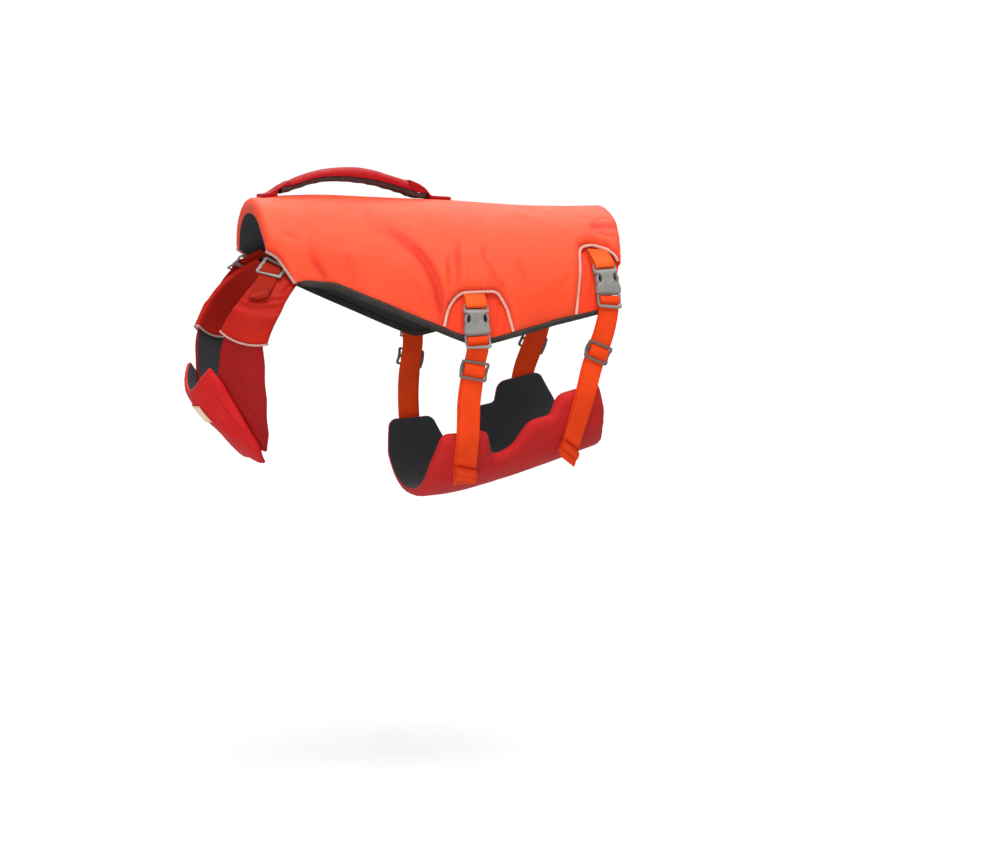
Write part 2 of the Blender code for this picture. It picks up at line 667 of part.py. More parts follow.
def pipings():
    """The reflective cord sewn round each arch, on the side away from the foam."""
    for which in ("front", "rear"):
        path = arch_line(which)
        path = path[away(path, HEM_LINE) > BINDING_REACH + PIPING + GAP]
        middle = path.mean(axis=0) + (0, 20)
        pair(f"piping_{which}", cord(on(torso, *moved_to(path, middle, PIPING + GAP).T,
                                        INSERT + GAP + PIPING), PIPING), "piping")
    middle = np.array((-175, 100.0))
    path = moved_to(NECK_LINE, middle, PIPING + GAP)
    pair("piping_neck", cord(on(torso, *path.T, PAD_EDGE), PIPING), "piping")


def moved_to(path, middle, distance):
    """A path moved sideways, to the side that a middle point is on."""
    ahead = np.gradient(path, axis=0)
    ahead /= np.linalg.norm(ahead, axis=1, keepdims=True)
    side = np.stack([-ahead[:, 1], ahead[:, 0]], axis=1)
    side *= np.sign(((middle - path) * side).sum(1).mean())
    return path + side * distance


# ---------------------------------------------------------------- belly panel
def belly_lift(flat):
    half = rounded(belly_place(BELLY), 6)
    right = np.abs(flat) * (0, 1) + flat * (1, 0)
    return PAD_EDGE + (BELLY_PAD - PAD_EDGE) * roll(away(right, half), BELLY_ROLL)


def belly_panel():
    def place(flat, side):
        return on(underside, flat[:, 0], flat[:, 1], belly_lift(flat) if side else 0)
    outline = mirrored_outline(rounded(belly_place(BELLY), 8))
    solid("belly_panel", slab(outline, place, 13.5, (5,)), "belly")


# ---------------------------------------------------------------- straps
class Line:
    """A strap's line over a form: places are across it, along it and out from the form."""

    def __init__(self, form, u, v):
        self.point = form(u, v)
        step = np.linalg.norm(np.diff(self.point, axis=0), axis=1)
        self.s = np.concatenate([[0], np.cumsum(step)])
        self.normal = outward(form, u, v)
        ahead = np.gradient(self.point, axis=0)
        self.side = np.cross(self.normal, ahead)
        self.side /= np.linalg.norm(self.side, axis=1, keepdims=True)

    def at(self, across, along, lift):
        across, along, lift = np.broadcast_arrays(across, along, lift)
        read = [np.stack([np.interp(along, self.s, column) for column in table.T], axis=-1)
                for table in (self.point, self.side, self.normal)]
        return read[0] + read[1] * across[..., None] + read[2] * lift[..., None]

    def bend(self, shape, start, lift):
        """A shape drawn as (across, along, up), laid along the line."""
        points, faces = shape
        return self.at(points[:, 0], points[:, 1] + start, points[:, 2] + lift), faces


def strap_line(rows):
    angle = np.linspace(rows[0, 0], rows[-1, 0], 300)
    line = Line(torso, through(angle, rows[:, 0], rows[:, 1]), np.radians(angle) * TORSO_SPAN)
    line.along = lambda degrees: float(np.interp(degrees, angle, line.s))
    line.low = lambda along: float(np.interp(along, line.s, through(angle, rows[:, 0], rows[:, 2])))
    return line


def webbing(line, corners, width=WEB_WIDTH, thick=WEB, step=11.0):
    """A tape along (along, lift, radius) corners over a line."""
    path = rounded(corners, step)
    ahead = np.gradient(path, axis=0)
    chord = path[1:] - path[:-1]
    chord /= np.linalg.norm(chord, axis=1, keepdims=True)
    ahead[0], ahead[-1] = chord[0], chord[-1]
    ahead[1:-1] = chord[:-1] + chord[1:]
    ahead /= np.linalg.norm(ahead, axis=1, keepdims=True)
    up = np.stack([-ahead[:, 1], ahead[:, 0]], axis=1) * thick / 2
    sections = []
    for across, side in ((-width / 2, 1), (width / 2, 1), (width / 2, -1), (-width / 2, -1)):
        edge = path + side * up
        sections.append(line.at(across, edge[:, 0], edge[:, 1]))
    return loft(np.stack(sections, axis=1))


def strap_corners(line, marks):
    """The strap's way: up from the belly, round the plug's bar, and back down as the tail."""
    bar = line.along(marks["joint"]) + PLUG_BAR
    slider = line.along(marks["slider"])
    end, tail_end = line.along(marks["end"]), line.along(marks["tail"])
    stacked = WEB + GAP
    over = SLIDER_THICK + 2 * GAP
    way = []
    for along in np.linspace(end, bar + 14, 12):
        way.append((along, line.low(along), 0))
    way.append((bar + 6, BUCKLE_LIFT - TURN, 8))
    way.append((bar - TURN, BUCKLE_LIFT - TURN, TURN))
    way.append((bar - TURN, BUCKLE_LIFT + TURN, TURN))
    way.append((bar + 2.2, BUCKLE_LIFT + TURN, 1.4))
    way.append((bar + 5.0, BUCKLE_LIFT - TURN + stacked + 0.1, 1.4))
    way.append((bar + 10, line.low(bar + 10) + stacked + 0.1, 8))
    way += over_slider(slider, line.low(slider) + stacked, over)
    for along in np.linspace(slider + 19, tail_end, 10):
        hang = marks["drop"] * max(0.0, 1 - (tail_end - along) / TAIL_HANG)**1.5
        way.append((along, line.low(along) + stacked + hang, 0))
    last = way[-1]
    way[-1] = (last[0], last[1], stacked / 2)
    way.append((last[0], last[1] + stacked, stacked / 2))
    way.append((last[0] - TAIL_FOLD, last[1] + stacked, 0))
    return way


def over_slider(middle, low, over):
    """A tape's corners as it crosses a slider's middle bar."""
    return [(middle + along, low + raised * over, bend) for along, raised, bend in SLIDER_WAY]


def loop_corners(line, marks):
    """The short loop from under the arch, round the socket's bar and back."""
    root = line.along(marks["root"])
    bar = line.along(marks["joint"]) + SOCKET_BAR
    low = INSERT + GAP + WEB / 2
    reach = (bar - root) / 2
    return [(root, low, 0), (bar - reach, low, 0), (bar - 0.5, BUCKLE_LIFT - TURN, 0),
            (bar + TURN, BUCKLE_LIFT - TURN, TURN), (bar + TURN, BUCKLE_LIFT + TURN, TURN),
            (bar - 1, BUCKLE_LIFT + TURN, 3), (bar - reach, BUCKLE_LIFT, 8), (root, low + WEB + GAP, 0)]


def slot(half, start, end):
    return np.array(((-half, start), (half, start), (half, end), (-half, end)), float)


def side_outline(rows, step=6.0):
    """A closed outline from the half with across > 0."""
    return mirrored_outline(rounded(rows, step))


def socket_shape():
    """The buckle's socket: a crowned body with a hollow for the plug, and a barred slot."""
    outline = side_outline(SOCKET)

    def place(flat, side):
        body = np.clip((flat[:, 1] + 20.2) / 3.2, 0, 1)
        body = body**2 * (3 - 2 * body)
        crown = 1 - 0.22 * (np.abs(flat[:, 0]) / 12.0)**2 - 0.12 * np.clip((flat[:, 1] + 5) / 5, 0, 1)
        high = BAR_HALF + (SOCKET_HALF * crown - BAR_HALF) * body
        low = BAR_HALF + (SOCKET_HALF - BAR_HALF) * body
        return np.column_stack([flat, high if side else -low])

    body = solid("socket_blank", slab(outline, place, 6, holes=[slot(*SOCKET_SLOT)]), "hardware")
    half, start, end, tall = CAVITY
    corners = [(x, y, z) for x in (-half, half) for y in (start, end) for z in (-tall, tall)]
    faces = [(0, 1, 3, 2), (4, 6, 7, 5), (0, 4, 5, 1), (2, 3, 7, 6), (0, 2, 6, 4), (1, 5, 7, 3)]
    cutter = solid("socket_cavity", (np.array(corners), faces), "hardware")
    cut = body.modifiers.new("cavity", "BOOLEAN")
    cut.operation = "DIFFERENCE"
    cut.object = cutter
    seen = body.evaluated_get(bpy.context.evaluated_depsgraph_get())
    mesh = seen.to_mesh()
    points = np.array([tuple(vertex.co) for vertex in mesh.vertices]) / MM
    faces = [tuple(face.vertices) for face in mesh.polygons]
    seen.to_mesh_clear()
    for helper in (body, cutter):
        bpy.data.objects.remove(helper, do_unlink=True)
    return points, faces


def plug_shape():
    """The plug: two springing prongs, a barred frame for the strap and a raised end bar."""
    def place(flat, side):
        rise = np.clip((flat[:, 1] - 7.4) / 2.8, 0, 1)
        middle = 2.0 * rise**2 * (3 - 2 * rise)
        half = np.where(flat[:, 1] > 1.2, BAR_HALF, PLUG_HALF)
        return np.column_stack([flat, middle + (half if side else -half)])
    return slab(side_outline(PLUG), place, 8, holes=[slot(*hole) for hole in PLUG_SLOTS])


def slider_shape(width):
    """A flat slider of three bars for a tape's width, its end bars raised over the tape."""
    def place(flat, side):
        rise = np.clip((np.abs(flat[:, 1]) - 2.2) / 3.4, 0, 1)
        low = SLIDER_RISE * rise**2 * (3 - 2 * rise)
        return np.column_stack([flat, low + (SLIDER_THICK if side else 0)])
    half = width / 2 + SLIDER_FRAME
    corners = [(*corner, SLIDER_CORNER) for corner in slot(half, -SLIDER_LONG, SLIDER_LONG)]
    holes = [spaced_loop(slot(width / 2 + SLIDER_CLEAR, *ends), 5) for ends in SLIDER_SLOTS]
    return slab(closed(corners, 4.3), place, 5, holes=holes)


def spaced_loop(loop, step):
    return spaced([*loop, loop[0]], step)[:-1]


def straps():
    socket, plug, slider = socket_shape(), plug_shape(), slider_shape(WEB_WIDTH)
    for which, rows in (("front", FRONT_STRAP), ("rear", REAR_STRAP)):
        line, marks = strap_line(rows), STRAP_MARKS[which]
        joint, slide = line.along(marks["joint"]), line.along(marks["slider"])
        pair(f"strap_loop_{which}", webbing(line, loop_corners(line, marks)), "webbing")
        pair(f"buckle_socket_{which}", line.bend(socket, joint, BUCKLE_LIFT), "hardware")
        pair(f"buckle_plug_{which}", line.bend(plug, joint, BUCKLE_LIFT), "hardware")
        pair(f"strap_{which}", webbing(line, strap_corners(line, marks)), "webbing")
        lift = line.low(slide) + WEB / 2 + GAP
        pair(f"slider_{which}", line.bend(slider, slide, lift), "hardware")


# ---------------------------------------------------------------- chest ring
def chest_lift(flat):
    half = rounded(CHEST, 6)
    right = np.abs(flat) * (1, 0) + flat * (0, 1)
    return CHEST_EDGE + (CHEST_PAD - CHEST_EDGE) * roll(away(right, half), CHEST_ROLL)


def chest():
    def place(flat, side):
        return on(breast, flat[:, 0], flat[:, 1], chest_lift(flat) if side else 0)

    def label_place(flat, side):
        lift = chest_lift(flat) + 2 * GAP + (LABEL_THICK if side else 0)
        return on(breast, flat[:, 0], flat[:, 1], lift)
    solid("chest_panel", slab(mirrored_outline(rounded(CHEST, 8)), place, 10, (4.5,)), "chest")
    solid("chest_label", slab(closed(LABEL, 5), label_place, 7), "label")


def arms():
    """The arms that rise from behind the chest panel into the sleeves."""
    def place(flat, side):
        return on(breast, flat[:, 0], flat[:, 1], -ARM_UNDER if side else -ARM_UNDER - ARM)
    pair("chest_arm", slab(closed(ARM_OUTLINE, 8), place, 13), "arm")


def sleeve_loops(wide, high, sides=16):
    """Flat oval sections round the arm, at the sleeve's stations."""
    turns = np.arange(sides) * 2 * math.pi / sides
    loops = []
    for front_u, front_v, rear_u, rear_v, sag, puff in SLEEVE_ROWS:
        front, rear = np.array((front_u, front_v)), np.array((rear_u, rear_v))
        half = np.linalg.norm(rear - front) / 2
        across = np.sign(np.cos(turns)) * np.abs(np.cos(turns))**0.35
        up = np.sign(np.sin(turns)) * np.abs(np.sin(turns))**0.35
        place = (front + rear) / 2 + np.outer(across * (half + wide) / half, (rear - front) / 2)
        place[:, 1] -= sag * (1 - np.clip(np.abs(across), 0, 1)**2)
        middle = -ARM_UNDER - ARM / 2
        lift = middle + up * high + np.where(up > 0, puff * up, 0)
        loops.append(on(breast, place[:, 0], place[:, 1], lift))
    return np.array(loops)


def sleeves():
    inner_wide, inner_high = 0.4, ARM / 2 + SLEEVE_ROOM
    pair("neck_sleeve", tube_wall(sleeve_loops(inner_wide + SLEEVE, inner_high + SLEEVE),
                                  sleeve_loops(inner_wide, inner_high)), "sleeve")
    rim = sleeve_loops(inner_wide + SLEEVE + 0.1, inner_high + SLEEVE + 0.1)
    down = rim[0] - rim[1]
    down /= np.linalg.norm(down, axis=1, keepdims=True)
    pair("hem_piping", cord(rim[0] + down * (PIPING + GAP), PIPING, ring=True), "piping")


def neck_straps():
    """The short strap that tightens each arm in its sleeve: from under the panel, through a slider."""
    rows = NECK_STRAP
    v = np.linspace(rows[0, 0], rows[-1, 0], 80)
    order = np.argsort(rows[:, 0])
    u = through(v, rows[order, 0], rows[order, 1])
    line = Line(breast, u, v)
    length = line.s[-1]
    slide = float(np.interp(-NECK_SLIDER, -v, line.s))
    low = sleeve_top() + GAP + WEB / 2
    over = SLIDER_THICK + GAP
    fold = (WEB + GAP) / 2
    way = [(0, low, 0), *over_slider(slide, low, over), (length - 12, low + 0.6, 0),
           (length, low + 1.6, fold), (length, low + 1.6 + 2 * fold, fold),
           (length - TAIL_FOLD, low + 1.0 + 2 * fold, 0)]
    pair("neck_webbing", webbing(line, way, width=NECK_WEB), "webbing")
    pair("neck_slider", line.bend(slider_shape(NECK_WEB), slide, low - WEB / 2), "hardware")


def sleeve_top():
    """The lift of a sleeve's outer face."""
    return -ARM_UNDER + SLEEVE_ROOM + SLEEVE


# ---------------------------------------------------------------- handle
def handle_z(x, column):
    return through(x, HANDLE[:, 0], HANDLE[:, column])


def crown(x):
    """The back panel's top along its middle line."""
    flat = np.column_stack([np.atleast_1d(x), np.zeros(np.size(x))])
    return on(torso, flat[:, 0], flat[:, 1], back_lift(flat))[:, 2]


def handle():
    """A stuffed red tube over a ribbed strap, on two flat feet."""
    half = HANDLE_WIDTH / 2
    xs = np.linspace(*GRIP_ENDS, 17)
    arc = np.linspace(0, math.pi, 9)
    top, under = handle_z(xs, 1), handle_z(xs, 2) + UNDERSIDE + GAP
    sections = [np.column_stack([xs, np.full(len(xs), math.cos(t)) * half,
                                 under + (top - under) * math.sin(t)**0.75]) for t in arc]
    solid("handle_grip", loft(np.stack(sections, axis=1)), "grip")
    xs = np.linspace(*UNDERSIDE_ENDS, 19)
    low, high = handle_z(xs, 2), handle_z(xs, 2) + UNDERSIDE
    low = np.maximum(low, crown(xs) + GAP)
    corners = ((-half + 2, 0), (half - 2, 0), (half - 1, 0.5),
               (half - 2, 1), (-half + 2, 1), (-half + 1, 0.5))
    sections = [np.column_stack([xs, np.full(len(xs), y), low + (high - low) * t]) for y, t in corners]
    solid("handle_underside", loft(np.stack(sections, axis=1)), "ribbed")
    foot("handle_tab_rear", REAR_TAB)
    foot("handle_tab_front", FRONT_TAB)


def foot(name, rows):
    """The handle's end: down to the panel and flat along it."""
    rows = sorted(rows)
    xs = np.linspace(rows[0][0], rows[-1][0], 13)
    floor = crown(xs) + 2 * GAP
    table = [(x, z if z else float(crown(x)[0]) + 2 * GAP + TAB) for x, z in rows]
    top = np.interp(xs, [x for x, _ in table], [z for _, z in table])
    top = np.maximum(top, floor + TAB)
    strap = handle_z(xs, 2) + UNDERSIDE + GAP
    under_strap = (xs > UNDERSIDE_ENDS[0] - 4) & (xs < UNDERSIDE_ENDS[1] + 4)
    bottom = np.where(under_strap, np.maximum(floor, np.minimum(strap, top - TAB)), floor)
    half = HANDLE_WIDTH / 2 - 1
    sections = [np.column_stack([xs, np.full(len(xs), side * half), z]) for side, z in
                ((-1, bottom), (1, bottom), (1, top), (-1, top))]
    solid(name, loft(np.stack(sections, axis=1)), "grip")


def main():
    for old in list(bpy.data.objects):
        bpy.data.objects.remove(old, do_unlink=True)
    back_panel()
    arch_inserts()
    bindings()
    pipings()
    belly_panel()
    straps()
    chest()
    arms()
    sleeves()
    neck_straps()
    handle()


main()
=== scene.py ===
"""The looks of the dog's life jacket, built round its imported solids.

Tables are in millimetres and degrees, as in the solids' source, and repeat its sizes. A place
(u, v) lies flat on a form, the torso or the breast, and a lift moves its point out from there.
-X runs to the wearer's head, +Y to its right, +Z up.
"""
import math

import bmesh
import bpy
import numpy as np
from mathutils import Matrix, Vector, geometry


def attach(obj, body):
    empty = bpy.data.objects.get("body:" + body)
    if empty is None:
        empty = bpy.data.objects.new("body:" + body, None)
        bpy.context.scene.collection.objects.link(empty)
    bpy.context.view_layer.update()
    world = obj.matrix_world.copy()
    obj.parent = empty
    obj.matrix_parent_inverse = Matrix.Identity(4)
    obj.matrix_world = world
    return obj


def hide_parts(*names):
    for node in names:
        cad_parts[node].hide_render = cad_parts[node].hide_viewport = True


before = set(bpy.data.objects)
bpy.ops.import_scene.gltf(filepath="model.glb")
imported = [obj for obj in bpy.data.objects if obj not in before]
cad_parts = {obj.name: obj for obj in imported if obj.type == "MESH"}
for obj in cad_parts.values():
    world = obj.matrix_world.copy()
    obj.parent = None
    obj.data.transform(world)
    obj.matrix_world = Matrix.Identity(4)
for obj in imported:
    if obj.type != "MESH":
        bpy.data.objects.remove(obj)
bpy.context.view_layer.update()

MM = 0.001
GAP = 0.3

# ---------------------------------------------------------------- sizes shared with the solids (mm)
PAD, PAD_EDGE, ARCH_EDGE, PAD_ROLL = 13.0, 3.5, 8.0, 12.0
INSERT = 3.5
BELLY_PAD, BELLY_ROLL = 8.0, 10.0
BINDING, BINDING_REACH = 1.2, 4.2
PIPING = 1.15
WEB_WIDTH, WEB = 20.0, 1.4
CHEST_PAD, CHEST_EDGE, CHEST_ROLL = 5.0, 2.2, 9.0
LABEL_THICK = 0.6
ARM, ARM_UNDER = 2.4, 0.7
SLEEVE, SLEEVE_ROOM = 1.2, 0.9
HANDLE_WIDTH = 26.0

TORSO = np.array([    # x, top, bottom, half width
    (-210, -6.0, -170, 60),
    (-160, 2.0, -228, 74),
    (-110, 4.0, -252, 87),
    (-50, 2.0, -259, 96),
    (10, -0.5, -257, 99),
    (70, -4.5, -243, 96),
    (125, -6.2, -226, 89),
    (172, -6.0, -211, 82),
    (200, -6.0, -204, 79),
], float)
SQUARENESS = 2.35
TORSO_MIDDLE = np.array((0, 0, -120.0))
TORSO_SPAN, BELLY_SPAN = 105.0, 115.0    # mm round the torso for one radian

BREAST_CENTRE = np.array((-150.0, 0.0, -125.0))
BREAST_TURNS = (0, 30, 60, 90)
BREAST_RISES = (-80, -60, -40, -20, 0, 20, 40, 60)
BREAST = np.array([   # its radius, a row for each rise and a column for each turn
    (106.0, 107, 110, 113),
    (89.5, 93, 103, 108),
    (87.8, 86.0, 91, 95),
    (88.5, 85.5, 83, 85),
    (91.0, 87.5, 84, 82),
    (95.0, 92.0, 89, 87),
    (100.0, 98.0, 95, 93.5),
    (106.0, 102.0, 97, 98),
], float)
BREAST_SPAN = 90.0

FRONT_EDGE = ((-174, 0, 0), (-173, 25, 60), (-171, 37.5, 3))
NECK_ARCH = ((-171, 37.5, 3), (-161, 40.3, 14), (-147, 53.2, 2))
HEM = ((-147, 53.2, 0), (-112, 55.2, 30), (14.5, 85.2, 18), (90, 78.4, 60), (146, 75.6, 0))
FRONT_ARCH = ((-20, 79.2, 0), (-14.0, 65.0, 34), (-1.9, 58.2, 17), (35.0, 58.6, 12),
              (44.6, 67.4, 30), (51.6, 82.4, 0))
REAR_ARCH = ((110, 77.4, 0), (114.8, 59.5, 60), (120.8, 39.6, 11), (136.5, 38.3, 20),
             (151.5, 41.6, 8), (158.3, 45.4, 5), (161.3, 50.5, 0))
REAR_EDGE = ((161.3, 50.5, 0), (168.5, 27, 60), (170, 0, 0))
BELLY = ((-22, 0, 0), (-22, 34, 12), (-15.5, 50.5, 9), (27, 51, 9), (38, 35, 9), (56, 39, 12),
         (69, 51.5, 12), (90, 51.5, 5), (96, 62, 10), (137, 62.5, 10), (147, 46, 40),
         (152, 32, 40), (162, 12, 40), (165, 0, 0))
CHEST = ((0, -40, 0), (20, -35, 40), (52, -14.5, 2.5), (61, -30, 25), (61.5, -62, 60),
         (54, -89, 20), (28, -114, 8), (0, -117, 0))
LABEL = ((-15, -52.5, 0.8), (15, -52.5, 0.8), (15, -71.5, 0.8), (-15, -71.5, 0.8))
ARM_OUTLINE = ((79, 73, 4), (101, 69, 4), (106, 56, 30), (109.5, 35, 60), (107.5, 11, 40),
               (110.5, -11, 50), (97, -46.5, 50), (72, -78, 50), (47, -99, 6), (42, -90, 8),
               (49, -62, 30), (48, -40, 12), (62, -12, 25), (71, 21, 40), (77.5, 45, 40),
               (79, 60, 30))
SLEEVE_ROWS = np.array([    # the front edge's u and v, the rear edge's, sag, puff
    (67.0, 21, 111.5, 10.5, 5.0, 0.2),
    (70.0, 31, 113.0, 22, 4.0, 0.0),
    (72.5, 40, 114, 33, 3.0, 1.6),
    (73.5, 45, 114, 39, 2.5, -0.1),
    (74.5, 53, 112.5, 48, 1.5, 0.0),
    (74.5, 66, 110.0, 61, 0.5, 0.0),
    (73.0, 78, 107.0, 73, 0.0, 0.0),
    (72.0, 91, 103.5, 86, 0.0, 0.0),
], float)
FOLDS = (    # x0, angle0, x1, angle1, bow, reach, depth
    (-66, 31, -21, 71, -15, 9, 2.2),
    (-9, 45, -12, 60, 1, 5, 0.9),
    (2, 38, -3, 53, 1, 6, 0.9),
    (28, 50, 35, 59, 1, 5, 0.8),
    (139, 31, 157, 35, 2, 5, 1.1),
    (56, 12, 89, 28, 3, 9, -1.1),
    (-130, 37, -118, 53, 3, 9, 1.4),
    (71, 67, 85, 60, 2, 6, 0.2),
)
FRONT_STRAP = np.array([    # angle, x, lift
    (56, 12.4, 6.9), (67, 12.2, 6.9), (80, 12.6, 6.9), (87, 13.4, 6.7), (92.5, 12.2, 3.5),
    (98, 10.4, 3.2), (104, 8.2, 3.1), (114, 6.1, 3.6), (122, 5.8, 6.4), (130, 5.9, 9.3),
    (136, 6.4, 9.4), (144, 8.6, 9.2), (152, 11.5, 9.2), (162, 17.0, 9.2),
], float)
REAR_STRAP = np.array([
    (34, 138.0, 6.9), (42, 140.5, 6.9), (52, 142.8, 6.9), (67, 144.4, 6.9), (77, 143.6, 6.7),
    (85, 141.3, 4.4), (93, 137.2, 3.3), (99, 133.2, 3.2), (105, 128.9, 3.5), (112, 124.0, 6.6),
    (119, 120.0, 9.3), (128, 116.7, 9.4), (134, 114.8, 9.2), (142, 113.8, 9.2), (150, 112.4, 9.2), (162, 112.4, 9.2),
], float)
STRAP_MARKS = {
    "front": {"root": 60.0, "joint": 79.2, "slider": 97.8, "tail": 151.0, "end": 155.5, "free": 137.0},
    "rear": {"root": 42.4, "joint": 66.2, "slider": 98.8, "tail": 154.2, "end": 153.0, "free": 127.0},
}   # degrees round the torso
BUCKLE_LIFT, SOCKET_BAR, PLUG_BAR, TURN = 9.25, -25.9, 4.6, 2.35
SOCKET = ((0, -26.7, 0), (11.6, -26.7, 3), (12.1, -22, 2), (11.2, -18.4, 1.2), (8.0, -17.6, 1.5), (6.1, -15.8, 1.5),
          (6.1, -11.6, 1.5), (7.8, -9.9, 1.5), (11.2, -9.3, 1.2), (12.4, -3.4, 4),
          (11.8, -0.2, 0.8), (0, -0.2, 0))
SOCKET_SLOT = (10.4, -25.1, -21.9)
SOCKET_HALF, BAR_HALF = 3.6, 1.1
PLUG = ((0, -3.4, 0), (6.3, -3.4, 0.8), (7.4, -8.4, 1), (9.2, -10.4, 1.5), (9.75, -12.9, 2), (9.1, -15.7, 1.5),
        (8.4, -17.0, 0.3), (9.0, -17.7, 0.3), (10.8, -16.6, 1.5), (11.6, -13.2, 3), (11.2, -10.4, 2),
        (9.4, -7.9, 1.0), (9.0, 0.3, 0), (12.1, 0.3, 1), (12.2, 12.6, 2.2), (0, 12.6, 0))
PLUG_SLOTS = ((10.4, 1.1, 3.8), (10.4, 5.4, 10.2))
PLUG_HALF = 1.4
SLIDER_FRAME, SLIDER_CLEAR, SLIDER_LONG, SLIDER_CORNER = 3.5, 0.7, 8.6, 2.2
SLIDER_SLOTS = ((-6.4, -1.5), (1.5, 6.4))
SLIDER_THICK, SLIDER_RISE = 1.6, 2.0
SLIDER_WAY = ((-9.5, 0, 0), (-5.9, 0, 1.0), (-2.7, 1, 1.2), (2.7, 1, 1.2), (5.9, 0, 1.0), (9.5, 0, 0))
TAIL_FOLD, TAIL_HEM, TAIL_BAND = 7.0, 15.0, 7.2
NECK_STRAP = np.array([(95, 72), (86, 73), (78, 75.5), (70, 80.5), (60, 85), (48, 89)], float)   # v, u
NECK_SLIDER, NECK_WEB = 78.0, 17.4
HANDLE = np.array([    # x, top, under
    (-146, 25.0, 17.6),
    (-136, 30.6, 20.6),
    (-122, 36.2, 25.2),
    (-108, 40.0, 28.4),
    (-90, 42.4, 29.4),
    (-73, 42.6, 28.4),
    (-57, 40.4, 26.2),
    (-41, 35.8, 22.2),
    (-24, 30.6, 17.0),
    (-15, 27.0, 13.4),
], float)
GRIP_ENDS, UNDERSIDE_ENDS, UNDERSIDE = (-137, -23), (-145, -8), 5.4
REAR_TAB = ((-22.6, 31.0), (-14, 27.6), (-8, 23.8), (-4.5, 19.4), (-2.0, 16.4), (1, 0), (17, 0))
FRONT_TAB = ((-137.4, 30.0), (-146, 25.4), (-153, 20.6), (-157, 18.6), (-164, 0))
TAB = 2.4

# ---------------------------------------------------------------- sizes of the finish alone (mm)
ARC_STEP = 11                # degrees of a rounded corner between two points
CLOTH_STEP = 4.0             # along the outlines of cloth
STITCH, STITCH_GAP = 2.5, 0.9        # in most seams
SHELL_THREAD, CLOTH_THREAD, TAPE_THREAD = 0.05, 0.03, 0.02    # how high thread lies over what it sews
# The sides of cloth's triangles, before each is cut in four twice.
SPACING = {"back": 6.1, "insert": 4.8, "belly": 5.6, "chest": 4.6, "label": 3.0, "arm": 5.0}
HARD_STEP = 1.6              # along the outlines of plastic
SEAM_INSET, END_INSET = 2.2, 4.0     # of the back panel's stitches from its arches and from its ends
SEAM_FROM_HEM, SEAM_FROM_END = 6, 2.5      # where those along the arches stop
BELLY_INSET, CHEST_INSET, LABEL_INSET = 2.6, 2.4, 1.6    # of stitches from each one's edge
BINDING_INSET = 1.3          # of its stitches from its upper edge
GATHERED = 3                 # from a seam to where its gathers are deepest
BOX_INSET = 8.4              # half the width of the box of stitches on a strap
FAR_INSIDE = 5.0             # a cloth place's distance from the edge where no painted edge shade shows
CORD_SIDES, DASH_SIDES = 10, 5
DASH_AHEAD = 0.2             # how far on its thread's direction is read
SLEEVE_SECTIONS, SLEEVE_SIDES, RIM_SIDES = 64, 88, 16    # the rim has as many as the solid
CORD_ASIDE = (0, 0, 37.0)    # from a cord's middle to the point that its sections are turned by
OVAL = 0.35                  # the power that squares the sleeve's section; 1 is an ellipse
ROW = 0.87                   # a triangle row's height, of its side
MOST_OF_HALF = 0.49          # how much of a side the arc at one of its corners takes
BATCH = 20000                # points measured at a time

SIDES = (("right", "R"), ("left", "L"))

HEM_CHANNEL, HEM_WELT, HEM_ROLL = 0.3, 6.0, 40.0   # from the binding to where the foam rises, and its rise
WELT_SHARE = 0.14            # of the foam's height that it gains in its first steep roll from the hem
SIDE_SEED = 1.9              # added to a seam's seed on the wearer's right, so that the sides differ
ARCH_ROLL = 9.0              # how far the foam rises from an arch's seam
SEAM_GAP = 0.06              # between the cover and the cloth in its arches
HEM_CORD = 0.98                     # the radius of the reflective cord round the sleeves' hems
PIPING_FROM_HEM, PIPING_FROM_REAR = BINDING_REACH + 0.45, 1.0    # where the arches' piping ends
PIPING_SUNK = 0.5                   # below the foam's edge
PIPING_PLUMP = 1.28                 # the reflective cord's radius, times the solids'
WEB_STEP = 1.3               # along webbing
EASY, CLEAR = 30, 0.1        # the radius of webbing's gentle bends, and the tail's room over its strap
ASIDE_FROM, ASIDE_OVER = 20, 30      # where the tail begins to lie aside, and how far on it does so in full
TAIL_TURN = {"front": -0.38, "rear": -0.56}   # of each folded tail's end
TAIL_ASIDE = {"front": -1.6, "rear": -1.2}    # of each tail over its strap
NECK_SLANT = 0.6                   # of the neck webbing's folded end
LOOP_SLANT = {"front": 0.0, "rear": -0.14}
LOOP_TUCK = {"front": 0.5, "rear": 1.6}   # how far under the arch's piping its root runs on
BINDING_TIP = -146.3                # the binding runs on to the neck's piping, narrowing over its start

